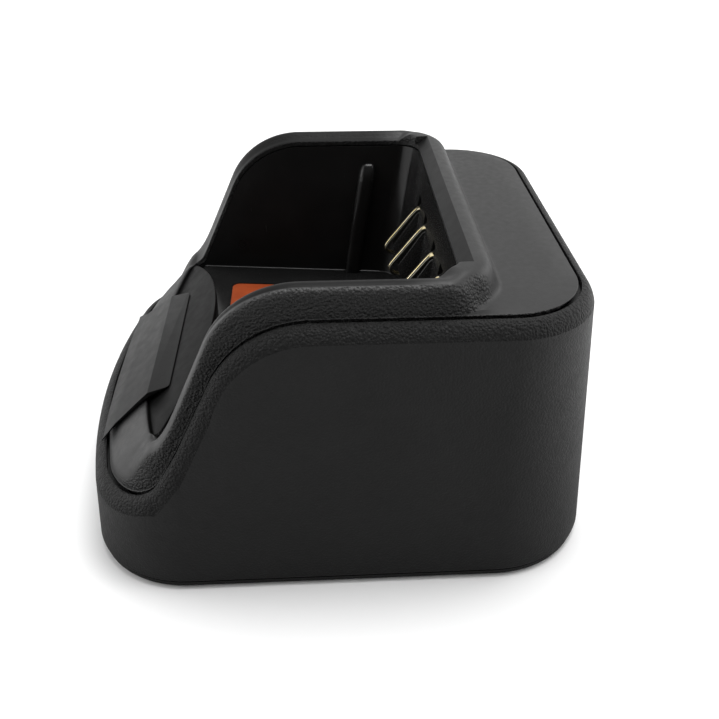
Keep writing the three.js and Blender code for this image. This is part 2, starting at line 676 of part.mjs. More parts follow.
// A can with a rounded top edge, standing on the board.
function canCapacitor(x, y, radius, height) {
  const profile = [[0, 0], [radius, 0], [radius, height - 0.8], [radius - 0.8, height], [0, height]];
  const points = profile.map(([r, z]) => new THREE.Vector2(r, z));
  const geometry = new THREE.LatheGeometry(points, 24).rotateX(Math.PI / 2);
  return toSolid(geometry.translate(x, y, BOARD_TOP_Z));
}

function drumInductor() {
  const [x, y] = [-14, -6];
  const foot = uprightCylinder(x, y, 6, BOARD_TOP_Z, BOARD_TOP_Z + 1.2);
  const winding = uprightCylinder(x, y, 4.8, BOARD_TOP_Z + 0.6, BOARD_TOP_Z + 7);
  return join(foot, winding, uprightCylinder(x, y, 6, BOARD_TOP_Z + 6.6, BOARD_TOP_Z + 7.8));
}

function chargeController() {
  return box(7, 14, -16, -9, BOARD_TOP_Z, BOARD_TOP_Z + 1.4);
}

function powerTransistor() {
  return box(2, 12, 8, 12.4, BOARD_TOP_Z, BOARD_TOP_Z + 9);
}

function heatSink() {
  const spine = box(0, 14, 12.6, 14.2, BOARD_TOP_Z, BOARD_TOP_Z + 11);
  const fins = [0, 3.1, 6.2, 9.3, 12.4].map((x) => box(x, x + 1.6, 14, 20, BOARD_TOP_Z, BOARD_TOP_Z + 11));
  return join(spine, ...fins);
}

function fuse() {
  const tube = lyingCylinder(-18, BOARD_TOP_Z + 2.6, 2.4, 12, 28, 16);
  const clips = [13, 25].map((y) => box(-20.6, -15.4, y, y + 2, BOARD_TOP_Z, BOARD_TOP_Z + 2.6));
  return join(tube, ...clips);
}

const HEADER = { x: 14, y: -26, width: 12 };

function leadHeader() {
  const { x, y, width } = HEADER;
  const body = box(x - width / 2, x + width / 2, y - 2.5, y + 2.5, BOARD_TOP_Z, BOARD_TOP_Z + 6);
  return cut(body, box(x - width / 2 + 0.8, x + width / 2 - 0.8, y - 1.7, y + 1.7, BOARD_TOP_Z + 1, 40));
}

// An insulated lead from the back of the contact block down to the header on the board.
function contactLead(index) {
  const x = CONTACT_X[index];
  const plugX = HEADER.x - 3.75 + 2.5 * index;
  const curve = new THREE.CatmullRomCurve3([
    new THREE.Vector3(x, CARRIER.rearY + CLEAR, 42 + 2.2 * index),
    new THREE.Vector3(x, CARRIER.rearY + 4, 40 + 2.2 * index),
    new THREE.Vector3(mix(x, plugX, 0.3), CARRIER.rearY + 1.5 - 2 * index, 24.5),
    new THREE.Vector3(mix(x, plugX, 0.7), 2 - 2 * index, 22.8),
    new THREE.Vector3(plugX, HEADER.y + 5, 21.5),
    new THREE.Vector3(plugX, HEADER.y, 17.5),
    new THREE.Vector3(plugX, HEADER.y, BOARD_TOP_Z + 1.3),
  ]);
  const sides = 8;
  const ring = Array.from({ length: sides }, (_, i) => {
    const t = (2 * Math.PI * i) / sides;
    return [0.65 * Math.cos(t), 0.65 * Math.sin(t)];
  });
  const tube = { steps: 26, extrudePath: curve, bevelEnabled: false };
  return toSolid(new THREE.ExtrudeGeometry(shapeOf(ring), tube));
}

// ---- Assembly ----

function finish(color, roughness, metalness = 0) {
  return new THREE.MeshStandardMaterial({ color, roughness, metalness });
}

const GRAINED = finish(0x2b2b2c, 0.62);
const SATIN = finish(0x343435, 0.5);
const GLOSS = finish(0x070708, 0.08);
const RUBBER = finish(0x141414, 0.9);
const STEEL = finish(0xa8abad, 0.35, 1);
const GOLD = finish(0xd8c07a, 0.25, 1);
const ORANGE = finish(0xd2531c, 0.55);
const PAPER = finish(0xc9cac8, 0.7);
const FIBREGLASS = finish(0x1d5a35, 0.5);
const BLACK_PART = finish(0x161617, 0.45);
const ALUMINIUM = finish(0xb9bcbf, 0.4, 1);
const SLEEVE = finish(0x23324f, 0.4);
const CLEAR_PLASTIC = finish(0xdfe6ea, 0.15);
const COPPER = finish(0xa0592c, 0.4, 1);
const WIRES = [finish(0xb3201c, 0.5), finish(0x1c1c1e, 0.5), finish(0xd9c23a, 0.5), finish(0xe8e8e4, 0.5)];

const group = new THREE.Group();

function add(name, solid, material) {
  const mesh = new THREE.Mesh(toGeometry(solid), material);
  mesh.name = name;
  group.add(mesh);
}

add("lower_housing", lowerHousing(), GRAINED);
add("base_plate", basePlate(), GRAINED);
add("top_cover", topCover(), SATIN);
add("pocket_liner", pocketLiner(), GLOSS);
add("front_panel", frontPanel(), SATIN);
add("nameplate", nameplate(), SATIN);
add("light_guide", lightGuide(), CLEAR_PLASTIC);
add("pocket_label", pocketLabel(), ORANGE);
add("rating_label", ratingLabel(), PAPER);
FOOT_CENTRES.forEach((centre, i) => add(`foot_${i + 1}`, foot(centre), RUBBER));
BOSS_CENTRES.forEach((centre, i) => add(`case_screw_${i + 1}`, caseScrew(centre), STEEL));
CONTACT_X.forEach((x, i) => add(`contact_spring_${i + 1}`, contactSpring(x), GOLD));
add("contact_carrier", contactCarrier(), BLACK_PART);
add("carrier_screw_left", carrierScrew(-12.5), STEEL);
add("carrier_screw_right", carrierScrew(12.5), STEEL);
add("main_board", mainBoard(), FIBREGLASS);
STANDOFFS.forEach((centre, i) => add(`board_screw_${i + 1}`, boardScrew(centre), STEEL));
add("power_jack", powerJack(), BLACK_PART);
add("power_jack_pin", powerJackPin(), STEEL);
add("status_led_left", statusLed(-4), CLEAR_PLASTIC);
add("status_led_right", statusLed(4), CLEAR_PLASTIC);
add("input_capacitor", canCapacitor(-12, 40, 5, 11.5), SLEEVE);
add("output_capacitor", canCapacitor(-2, -26, 4, 11), SLEEVE);
add("inductor", drumInductor(), COPPER);
add("charge_controller", chargeController(), BLACK_PART);
add("power_transistor", powerTransistor(), BLACK_PART);
add("heat_sink", heatSink(), ALUMINIUM);
add("fuse", fuse(), PAPER);
add("lead_header", leadHeader(), PAPER);
CONTACT_X.forEach((_, i) => add(`contact_lead_${i + 1}`, contactLead(i), WIRES[i]));

export default group;
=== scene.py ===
import math

import bmesh
import bpy
import numpy as np
from mathutils import Matrix, Vector


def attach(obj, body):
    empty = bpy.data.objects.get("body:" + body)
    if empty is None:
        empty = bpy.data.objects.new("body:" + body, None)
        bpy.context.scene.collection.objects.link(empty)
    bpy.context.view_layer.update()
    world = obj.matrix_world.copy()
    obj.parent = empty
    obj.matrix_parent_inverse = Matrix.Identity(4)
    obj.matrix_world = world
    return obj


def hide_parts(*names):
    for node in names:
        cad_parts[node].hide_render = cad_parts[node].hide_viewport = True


# Looks for a desktop charging cradle for a two-way radio.
# Sizes are in millimetres until a mesh is made. The front faces -Y, up is +Z, the near side faces +X.

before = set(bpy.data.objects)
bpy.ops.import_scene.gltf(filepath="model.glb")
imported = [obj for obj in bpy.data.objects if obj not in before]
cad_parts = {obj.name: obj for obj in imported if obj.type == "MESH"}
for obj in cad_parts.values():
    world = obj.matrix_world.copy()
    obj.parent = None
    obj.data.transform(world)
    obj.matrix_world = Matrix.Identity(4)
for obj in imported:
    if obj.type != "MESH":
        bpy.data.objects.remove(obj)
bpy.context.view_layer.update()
MM = 0.001

# ---- Driving dimensions, the same as the CAD source's ----

SEAM = dict(half_width=43, front_y=-47.2, rear_y=47.4, front_radius=14, rear_radius=15, bulge=147.6)
COLLAR = dict(half_width=42.5, front_y=-46.7, rear_y=32.5, front_radius=13.5, rear_radius=12, bulge=147.1)
OPENING = dict(half_width=36.9, front_y=-41, rear_y=23.5, front_radius=2.5, rear_radius=5, bulge=138)
DECK_Z, SEAM_LOW_Z, CREST_Z = 58, 19.1, 64.3
FLARE = 4.1 / 55.6
BAND = 3.1
GROOVE = 0.35
SEAM_CURVE = dict(high=DECK_Z, low=SEAM_LOW_Z, y=-26.5, z=38.6, angle=64, top_radius=21, low_radius=9)
CREST_CURVE = dict(high=CREST_Z, low=SEAM_LOW_Z, y=-27.1, z=44.8, angle=65.5, top_radius=19, low_radius=5)
PANEL_Y, PANEL_Z, PANEL_SLOPE, PANEL_THICKNESS = -27, 35.5, 0.78, 2
PANEL_ARCH_RADIUS, PANEL_ARCH_Y = 84, -26
LEAN = math.tan(math.radians(7.6))
FLOOR_TILT = math.tan(math.radians(3.4))
FLOOR_Z, FLOOR_THICKNESS = 27.6, 1.6
POCKET_HALF_WIDTH, POCKET_WALL, POCKET_REAR_Y = 36.6, 1, 18.9
CONTACT_X = [-18, -7, 7, 18]
HOUSING_BOTTOM_Z, HOUSING_WALL = 1.8, 2.4
PLATE_BOTTOM_Z, PLATE_RIM_TOP_Z, PLATE_TOP_Z = 0.4, 1.5, 3.4
BOSS_TOP_Z = 14
BOSS_CENTRES = [(-39.8, 43.7), (39.8, 43.7), (-40.1, -39.2), (40.1, -39.2)]
FOOT_CENTRES = [(-27, 38), (27, 38), (-27, -38), (27, -38)]
FOOT_RADIUS = 5
STANDOFFS = [(-21, 34), (21, 34), (-21, -32), (21, -32)]
BOARD_BOTTOM_Z, BOARD_TOP_Z = 8, 9.6
JACK_HALF_WIDTH, JACK_TOP_Z = 4.6, 20.9
LIP = 1.2
CLEAR = 0.3

# ---- Curves ----


def smoothstep(low, high, value):
    t = np.clip((value - low) / (high - low), 0, 1)
    return t * t * (3 - 2 * t)


def smooth_max(a, b, radius):
    h = np.maximum(radius - np.abs(a - b), 0) / radius
    return np.maximum(a, b) + h * h * radius / 4


def curve_height(curve, y):
    """Height of a level, bend, slope, bend, level curve at y."""
    y = np.asarray(y, float)
    angle = math.radians(curve["angle"])
    slope = math.tan(angle)
    top, low = curve["top_radius"], curve["low_radius"]
    top_start = curve["y"] + (curve["high"] - curve["z"]) / slope + top * math.tan(angle / 2)
    low_start = curve["y"] - (curve["z"] - curve["low"]) / slope - low * math.tan(angle / 2)
    from_top = np.clip(top_start - y, 0, top * math.sin(angle))
    from_low = np.clip(y - low_start, 0, low * math.sin(angle))
    z = curve["z"] + (y - curve["y"]) * slope
    top_bend = curve["high"] - top + np.sqrt(top**2 - from_top**2)
    low_bend = curve["low"] + low - np.sqrt(low**2 - from_low**2)
    z = np.where(top_start - y < top * math.sin(angle), top_bend, z)
    return np.where(y - low_start < low * math.sin(angle), low_bend, z)


def panel_height(y):
    return PANEL_Z + PANEL_SLOPE * (np.asarray(y, float) - PANEL_Y)


def floor_height(y):
    return FLOOR_Z - FLOOR_TILT * np.asarray(y, float)


def over_panel(y, above):
    """A height over the panel's plane, level behind the panel."""
    return panel_height(np.minimum(y, -24)) + above


def crest_height(y):
    """The rim's crest; low at the front it runs just above the panel's plane."""
    return smooth_max(curve_height(CREST_CURVE, y), over_panel(y, 1), 3)


class Outline:
    """Plan points and outward normals, from the middle of the front round by +X. All outlines match."""

    def __init__(self, xy, normal):
        self.xy = xy
        self.normal = normal

    def moved(self, distance):
        return self.xy + self.normal * np.reshape(distance, (-1, 1))


def front_corner(shape):
    """Corner centre y and the turn at which the bulging front meets the corner."""
    x = shape["half_width"] - shape["front_radius"]
    reach = shape["bulge"] - shape["front_radius"]
    return shape["front_y"] + shape["bulge"] - math.sqrt(reach**2 - x**2), math.asin(x / reach)


def outline(shape):
    half, radius, bulge = shape["half_width"], shape["front_radius"], shape["bulge"]
    corner_y, bend = front_corner(shape)
    seam_corner_y, seam_bend = front_corner(SEAM)
    rows = []

    def arc(cx, cy, r, turns):
        for t in turns:
            rows.append((cx + r * math.sin(t), cy - r * math.cos(t), math.sin(t), -math.cos(t)))

    arc(0, shape["front_y"] + bulge, bulge, np.linspace(0, bend, 32, endpoint=False))
    seam_turns = np.linspace(seam_bend, math.pi / 2, 41)
    seam_y = seam_corner_y - SEAM["front_radius"] * np.cos(seam_turns)
    last_turn = math.acos(np.clip((seam_corner_y - corner_y) / SEAM["front_radius"], 0, 1))
    for turn, y in zip(seam_turns, seam_y):
        if turn <= last_turn + 1e-6:
            share = (turn - seam_bend) / (last_turn - seam_bend)
            arc(half - radius, corner_y, radius, [bend + (math.pi / 2 - bend) * share])
        else:
            rows.append((half, y, 1, 0))
    rear_start = shape["rear_y"] - shape["rear_radius"]
    side_y = [*np.linspace(seam_corner_y, 0, 100)[1:], *np.linspace(0, rear_start, 24)[1:]]
    rows += [(half, y, 1, 0) for y in side_y]
    rear_radius = shape["rear_radius"]
    arc(half - rear_radius, rear_start, rear_radius, np.linspace(math.pi / 2, math.pi, 33)[1:])
    rows += [(x, shape["rear_y"], 0, 1) for x in np.linspace(half - rear_radius, 0, 14)[1:]]
    right = np.array(rows)
    left = right[1:-1][::-1] * np.array([-1, 1, -1, 1])
    both = np.vstack([right, left])
    return Outline(both[:, :2], both[:, 2:])


def seam_ring():
    """The parting line: its outline, heights and steepness along the ring."""
    base = outline(SEAM)
    z = curve_height(SEAM_CURVE, base.xy[:, 1])
    ring = Outline(base.moved(FLARE * (DECK_Z - z)), base.normal)
    run = np.hypot(*(np.roll(ring.xy, -1, 0) - np.roll(ring.xy, 1, 0)).T)
    rise = np.roll(z, -1) - np.roll(z, 1)
    return ring, z, np.hypot(1, rise / run)


def rounded(points, passes=3):
    """Corner cutting: each pass swaps a corner for two points a quarter of the way along its sides."""
    points = np.asarray(points, float)
    for _ in range(passes):
        a, b = points[:-1], points[1:]
        cut = np.empty((2 * len(a), points.shape[1]))
        cut[0::2] = 0.75 * a + 0.25 * b
        cut[1::2] = 0.25 * a + 0.75 * b
        points = np.vstack([points[:1], cut, points[-1:]])
    return points


# ---- Mesh helpers. A shape is (points, faces) in millimetres ----


def lifted(xy, z):
    return np.column_stack([xy, np.broadcast_to(z, len(xy))])


def loft(rings, closed=True):
    """A skin over matching rings. Closed joins the last ring to the first; otherwise the ends get caps."""
    size = len(rings[0])
    faces = []
    for k in range(len(rings) if closed else len(rings) - 1):
        here, there = k * size, (k + 1) % len(rings) * size
        for i in range(size):
            j = (i + 1) % size
            faces.append((here + i, there + i, there + j, here + j))
    if not closed:
        faces.append(tuple(range(size)))
        faces.append(tuple(reversed(range((len(rings) - 1) * size, len(rings) * size))))
    return np.vstack(rings), faces


def merged(*shapes):
    points, faces, start = [], [], 0
    for shape_points, shape_faces in shapes:
        points.append(shape_points)
        faces += [tuple(i + start for i in face) for face in shape_faces]
        start += len(shape_points)
    return np.vstack(points), faces


def upright(plan, bottom_z, top_z):
    """A prism over a plan outline."""
    plan = np.asarray(plan, float)
    return loft([lifted(plan, bottom_z), lifted(plan, top_z)], closed=False)


def side_prism(profile, left_x, right_x):
    """A prism across the width, from a side view drawn with y and z."""
    profile = np.asarray(profile, float)
    rings = [np.column_stack([np.full(len(profile), x), profile]) for x in (left_x, right_x)]
    return loft(rings, closed=False)


def block(x0, x1, y0, y1, z0, z1):
    return upright([(x0, y0), (x1, y0), (x1, y1), (x0, y1)], z0, z1)


def circle(radius, count=48):
    turns = np.arange(count) * 2 * math.pi / count
    return np.column_stack([radius * np.cos(turns), radius * np.sin(turns)])


def turned(profile, count=48):
    """A solid of revolution about +Z. The profile is (radius, z) from the lower end to the upper end."""
    return loft([lifted(circle(max(r, 0.01), count), z) for r, z in profile], closed=False)


def placed(shape, offset=(0, 0, 0), matrix=None):
    points, faces = shape
    if matrix is not None:
        points = points @ np.array(matrix, float)[:3, :3].T
    return points + np.array(offset, float), faces


def along_y(shape, offset):
    """Lays a solid of revolution down so that its +Z end points to +Y."""
    return placed(shape, offset, Matrix.Rotation(-math.pi / 2, 3, "X"))


def rounded_rectangle(x0, x1, y0, y1, radius, steps=6):
    points = []
    corners = [(x1 - radius, y0 + radius, -90), (x1 - radius, y1 - radius, 0),
               (x0 + radius, y1 - radius, 90), (x0 + radius, y0 + radius, 180)]
    for cx, cy, start in corners:
        for t in np.radians(start + np.linspace(0, 90, steps + 1)):
            points.append((cx + radius * math.cos(t), cy + radius * math.sin(t)))
    return points


def make(name, shape):
    """Turns a shape into a Blender object with outward faces."""
    points, faces = shape
    mesh = bpy.data.meshes.new(name)
    mesh.from_pydata((points * MM).tolist(), [], faces)
    work = bmesh.new()
    work.from_mesh(mesh)
    bmesh.ops.recalc_face_normals(work, faces=work.faces)
    work.to_mesh(mesh)
    work.free()
    obj = bpy.data.objects.new(name, mesh)
    bpy.context.scene.collection.objects.link(obj)
    return obj


def bake(obj):
    """Applies the object's modifiers to its mesh."""
    bpy.context.view_layer.update()
    result = bpy.data.meshes.new_from_object(obj.evaluated_get(bpy.context.evaluated_depsgraph_get()))
    obj.modifiers.clear()
    obj.data = result
    result.name = obj.name


def carve(obj, operation, shape):
    """Boolean of the object with a shape: DIFFERENCE, UNION or INTERSECT."""
    tool = make("tool", shape)
    modifier = obj.modifiers.new("carve", "BOOLEAN")
    modifier.operation = operation
    modifier.object = tool
    modifier.solver = "EXACT"
    bake(obj)
    bpy.data.objects.remove(tool)
    return obj


def soften(obj, width, segments=2, angle=30):
    modifier = obj.modifiers.new("soften", "BEVEL")
    modifier.width = width * MM
    modifier.segments = segments
    modifier.limit_method = "ANGLE"
    modifier.angle_limit = math.radians(angle)
    bake(obj)
    return obj


def shade(obj, angle=28):
    obj.data.shade_smooth()
    obj.data.set_sharp_from_angle(angle=math.radians(angle))
    return obj


def finish_piece(obj, body, materials, nodes, angle=28):
    shade(obj, angle)
    zones = np.zeros(len(obj.data.polygons), np.int32)
    obj.data.polygons.foreach_get("material_index", zones)
    obj.data.materials.clear()
    for material in materials:
        obj.data.materials.append(material)
    obj.data.polygons.foreach_set("material_index", np.minimum(zones, len(materials) - 1))
    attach(obj, body)
    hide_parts(*nodes)
    return obj


def zone_by(obj, chooser):
    """Gives each face a material zone number from its centre in millimetres and its normal."""
    polygons = obj.data.polygons
    centres = np.zeros(len(polygons) * 3)
    normals = np.zeros(len(polygons) * 3)
    polygons.foreach_get("center", centres)
    polygons.foreach_get("normal", normals)
    zones = chooser(centres.reshape(-1, 3) / MM, normals.reshape(-1, 3))
    polygons.foreach_set("material_index", np.asarray(zones, np.int32))


# ---- Materials ----


class Nodes:
    """A small wrapper that builds a node material."""

    def __init__(self, name):
        self.material = bpy.data.materials.new(name)
        self.material.use_nodes = True
        self.tree = self.material.node_tree
        self.shader = self.tree.nodes["Principled BSDF"]
        self.coordinates = self.add("ShaderNodeTexCoord").outputs["Object"]

    def add(self, kind, **settings):
        node = self.tree.nodes.new(kind)
        for key, value in settings.items():
            setattr(node, key, value)
        return node

    def feed(self, socket, value):
        if isinstance(value, bpy.types.NodeSocket):
            self.tree.links.new(value, socket)
        else:
            socket.default_value = value

    def noise(self, size, detail=2.0, roughness=0.5, stretch=None):
        """Noise whose features are about size millimetres across, from 0 to 1."""
        vector = self.coordinates
        if stretch is not None:
            mapping = self.add("ShaderNodeMapping")
            self.feed(mapping.inputs["Vector"], vector)
            mapping.inputs["Scale"].default_value = stretch
            vector = mapping.outputs["Vector"]
        node = self.add("ShaderNodeTexNoise")
        self.feed(node.inputs["Vector"], vector)
        node.inputs["Scale"].default_value = 1 / (size * MM)
        node.inputs["Detail"].default_value = detail
        node.inputs["Roughness"].default_value = roughness
        return node.outputs["Fac"]

    def cells(self, size, feature="F1", smoothness=0.3):
        node = self.add("ShaderNodeTexVoronoi", feature=feature)
        self.feed(node.inputs["Vector"], self.coordinates)
        node.inputs["Scale"].default_value = 1 / (size * MM)
        if "Smoothness" in node.inputs:
            node.inputs["Smoothness"].default_value = smoothness
        return node.outputs["Distance"]

    def remap(self, value, low, high, new_low, new_high, smooth=False):
        node = self.add("ShaderNodeMapRange")
        node.interpolation_type = "SMOOTHSTEP" if smooth else "LINEAR"
        for socket, item in zip(node.inputs, (value, low, high, new_low, new_high)):
            self.feed(socket, item)
        return node.outputs[0]

    def maths(self, operation, a, b=0.0):
        node = self.add("ShaderNodeMath", operation=operation)
        self.feed(node.inputs[0], a)
        self.feed(node.inputs[1], b)
        return node.outputs[0]

    def mix(self, factor, a, b):
        node = self.add("ShaderNodeMix", data_type="RGBA")
        self.feed(node.inputs["Factor"], factor)
        self.feed(node.inputs[6], a)
        self.feed(node.inputs[7], b)
        return node.outputs[2]

    def bump(self, height, depth, strength=1.0, normal=None):
        node = self.add("ShaderNodeBump")
        self.feed(node.inputs["Strength"], strength)
        node.inputs["Distance"].default_value = depth * MM
        self.feed(node.inputs["Height"], height)
        if normal is not None:
            self.feed(node.inputs["Normal"], normal)
        return node.outputs["Normal"]

    def side_facing(self, low, high):
        """1 where the surface faces left or right, 0 where it doesn't."""
        split = self.add("ShaderNodeSeparateXYZ")
        self.feed(split.inputs[0], self.add("ShaderNodeNewGeometry").outputs["Normal"])
        return self.remap(self.maths("ABSOLUTE", split.outputs["X"]), low, high, 0.0, 1.0, smooth=True)

    def place(self, axis):
        """The position along an axis, in millimetres."""
        split = self.add("ShaderNodeSeparateXYZ")
        self.feed(split.inputs[0], self.coordinates)
        return self.maths("DIVIDE", split.outputs[axis], MM)

    def between(self, value, low, high, soft):
        """1 between two limits, with soft ends."""
        rise = self.remap(value, low - soft, low, 0.0, 1.0, smooth=True)
        fall = self.remap(value, high, high + soft, 1.0, 0.0, smooth=True)
        return self.maths("MULTIPLY", rise, fall)

    def edges(self, low=0.52, high=0.6):
        """1 on worn outer edges."""
        return self.remap(self.add("ShaderNodeNewGeometry").outputs["Pointiness"], low, high, 0.0, 1.0)

    def set(self, **values):
        names = dict(colour="Base Color", roughness="Roughness", metallic="Metallic", normal="Normal",
                     specular="Specular IOR Level", coat="Coat Weight", coat_roughness="Coat Roughness",
                     transmission="Transmission Weight", ior="IOR", emission="Emission Color",
                     emission_strength="Emission Strength")
        for key, value in values.items():
            self.feed(self.shader.inputs[names[key]], value)
        return self.material


def grey(value, tint=(1.0, 1.0, 1.0)):
    return (value * tint[0], value * tint[1], value * tint[2], 1.0)


def leather_grain(n, size):
    """Moulded leather-like grain: soft pebbles split by fine creases, 0 to 1."""
    pebbles = n.cells(size, "SMOOTH_F1", 0.6)
    wander = n.noise(size * 0.8, 3.0, 0.6)
    return n.maths("ADD", n.maths("MULTIPLY", pebbles, -0.9), n.maths("MULTIPLY", wander, 0.8))


def case_fine():
    """Lower housing: fine, dark, even grain."""
    n = Nodes("case_grained")
    fine = leather_grain(n, 0.45)
    tone = n.noise(9.0, 3.0)
    colour = n.mix(n.remap(tone, 0.3, 0.7, 0.0, 1.0), grey(0.0105), grey(0.013))
    colour = n.mix(n.maths("MULTIPLY", n.edges(), 0.3), colour, grey(0.03))
    rough = n.remap(n.noise(1.6, 4.0), 0.3, 0.7, 0.46, 0.56)
    return n.set(colour=colour, roughness=rough, specular=0.34, normal=n.bump(fine, 0.1, 0.8))


def case_coarse():
    """The rounded band under the parting line: coarser grain that catches more light."""
    n = Nodes("case_band_grained")
    coarse = leather_grain(n, 0.5)
    colour = n.mix(n.remap(n.noise(6.0, 3.0), 0.3, 0.7, 0.0, 1.0), grey(0.008), grey(0.01))
    colour = n.mix(n.maths("MULTIPLY", n.edges(), 0.3), colour, grey(0.035))
    rough = n.remap(n.noise(1.2, 4.0), 0.3, 0.7, 0.44, 0.56)
    return n.set(colour=colour, roughness=rough, specular=0.2, normal=n.bump(coarse, 0.36, 1.0))


def cover_grained():
    """Top cover: coarse grain on the rim's flanks, fine satin on the deck and the chin.

    A smooth, duller band runs along the top of each side of the rim, with a shinier line where it meets the grain;
    that line is also painted lighter, a painted highlight.
    """
    n = Nodes("cover_grained")
    side = n.side_facing(0.45, 0.75)
    width = n.maths("ABSOLUTE", n.place("X"))
    level_part = n.between(n.place("Y"), -19, 12, 10)
    band = n.maths("MULTIPLY", n.between(width, 30, 41.2, 0.5), level_part)
    shine_and_highlight_line = n.maths("MULTIPLY", n.between(width, 41.55, 41.75, 0.3), level_part)
    coarse = n.maths("MULTIPLY", leather_grain(n, 0.5), side)
    fine = n.bump(leather_grain(n, 0.36), 0.03, 0.4)
    colour = n.mix(n.remap(n.noise(7.0, 3.0), 0.3, 0.7, 0.0, 1.0), grey(0.012), grey(0.0145))
    colour = n.mix(n.maths("MULTIPLY", n.edges(), 0.3), colour, grey(0.035))
    rough = n.remap(n.noise(1.5, 4.0), 0.3, 0.7, 0.4, 0.5)
    colour = n.mix(band, colour, grey(0.008))
    # Painted highlight: the shiny line's colour is lighter as well.
    colour = n.mix(shine_and_highlight_line, colour, grey(0.022))
    specular = n.remap(n.maths("SUBTRACT", shine_and_highlight_line, band), -1.0, 1.0, 0.1, 0.62)
    return n.set(colour=colour, roughness=rough, specular=specular, normal=n.bump(coarse, 0.42, 1.0, fine))


def panel_satin(name="panel_satin", level=0.0045, roughness=0.42, specular=0.04):
    """Smooth moulded satin with faint flow marks."""
    n = Nodes(name)
    fine = n.noise(0.22, 3.0, 0.6)
    colour = n.mix(n.remap(n.noise(8.0, 3.0), 0.3, 0.7, 0.0, 1.0), grey(level), grey(level * 1.18))
    colour = n.mix(n.maths("MULTIPLY", n.edges(), 0.3), colour, grey(level * 2.5))
    rough = n.remap(n.noise(2.5, 4.0), 0.3, 0.7, roughness - 0.04, roughness + 0.05)
    return n.set(colour=colour, roughness=rough, specular=specular, normal=n.bump(fine, 0.008, 0.35))


def pocket_gloss(name="pocket_gloss", specular=0.32):
    """Polished black with faint waviness and light rub marks."""
    n = Nodes(name)
    waves = n.noise(9.0, 1.0)
    rubs = n.noise(0.5, 4.0, 0.6, stretch=(1.0, 1.0, 0.06))
    rough = n.remap(rubs, 0.35, 0.75, 0.16, 0.28)
    colour = n.mix(n.remap(n.noise(14.0, 2.0), 0.3, 0.7, 0.0, 1.0), grey(0.009), grey(0.013))
    return n.set(colour=colour, roughness=rough, specular=specular, normal=n.bump(waves, 0.03, 0.3))


def label_orange():
    """Printed film label with paper fibre and slightly uneven ink. For glossy rays its colour is painted near-black,
    a painted dark reflection, so it shows dark in the glossy walls.
    """
    n = Nodes("label_orange")
    fibre = n.noise(0.25, 4.0, 0.65)
    ink = n.remap(n.noise(3.0, 3.0), 0.3, 0.7, 0.0, 1.0)
    colour = n.mix(ink, (0.26, 0.043, 0.01, 1.0), (0.31, 0.055, 0.013, 1.0))
    colour = n.mix(n.edges(0.55, 0.7), colour, (0.6, 0.3, 0.2, 1.0))
    mirrored = n.add("ShaderNodeLightPath").outputs["Is Glossy Ray"]
    # Painted dark reflection: glossy rays see the label near-black.
    colour = n.mix(mirrored, colour, (0.01, 0.004, 0.002, 1.0))
    return n.set(colour=colour, roughness=n.remap(fibre, 0.3, 0.7, 0.42, 0.6), specular=0.14,
                 normal=n.bump(fibre, 0.01, 0.4))


def label_grey():
    n = Nodes("label_grey")
    fibre = n.noise(0.2, 4.0, 0.65)
    ink = n.remap(n.noise(5.0, 3.0), 0.3, 0.7, 0.0, 1.0)
    colour = n.mix(ink, (0.42, 0.43, 0.43, 1.0), (0.5, 0.5, 0.49, 1.0))
    return n.set(colour=colour, roughness=n.remap(fibre, 0.3, 0.7, 0.5, 0.7), normal=n.bump(fibre, 0.01, 0.4))


def contact_gold():
    """Thin gold plating over nickel: drawn lines along the strip, paler where it has rubbed.

    For every ray but camera rays its colour is painted dark, a painted dim reflection, so it tints the glossy wall
    only a little.
    """
    n = Nodes("contact_gold")
    drawn = n.noise(0.3, 4.0, 0.6, stretch=(8.0, 0.6, 0.6))
    rubbed = n.remap(n.noise(1.2, 3.0), 0.4, 0.65, 0.0, 0.6)
    colour = n.mix(rubbed, (0.86, 0.72, 0.36, 1.0), (0.92, 0.88, 0.76, 1.0))
    seen = n.add("ShaderNodeLightPath").outputs["Is Camera Ray"]
    # Painted dim reflection: rays other than camera rays see a dark colour.
    colour = n.mix(seen, (0.16, 0.15, 0.12, 1.0), colour)
    return n.set(colour=colour, metallic=1.0, roughness=n.remap(drawn, 0.3, 0.7, 0.14, 0.3),
                 normal=n.bump(drawn, 0.004, 0.4))


def contact_dull():
    """The strip beside its polished ridge: greyer plating that reflects little."""
    n = Nodes("contact_dull")
    drawn = n.noise(0.3, 4.0, 0.6, stretch=(8.0, 0.6, 0.6))
    tarnish = n.remap(n.noise(0.9, 3.0), 0.35, 0.65, 0.0, 1.0)
    colour = n.mix(tarnish, (0.1, 0.095, 0.075, 1.0), (0.2, 0.19, 0.16, 1.0))
    return n.set(colour=colour, metallic=1.0, roughness=n.remap(drawn, 0.3, 0.7, 0.25, 0.4),
                 normal=n.bump(drawn, 0.006, 0.5))


def black_moulding():
    n = Nodes("black_moulding")
    fine = n.noise(0.3, 3.0, 0.6)
    colour = n.mix(n.remap(n.noise(5.0), 0.3, 0.7, 0.0, 1.0), grey(0.009), grey(0.012))
    colour = n.mix(n.maths("MULTIPLY", n.edges(), 0.5), colour, grey(0.05))
    return n.set(colour=colour, roughness=n.remap(fine, 0.3, 0.7, 0.2, 0.32), normal=n.bump(fine, 0.006, 0.4))


def rubber():
    n = Nodes("rubber")
    fine = n.noise(0.25, 4.0, 0.6)
    dust = n.remap(n.noise(2.2, 4.0), 0.45, 0.75, 0.0, 1.0)
    colour = n.mix(dust, grey(0.008), grey(0.022))
    return n.set(colour=colour, roughness=n.remap(fine, 0.3, 0.7, 0.78, 0.95), specular=0.3,
                 normal=n.bump(fine, 0.02, 0.6))


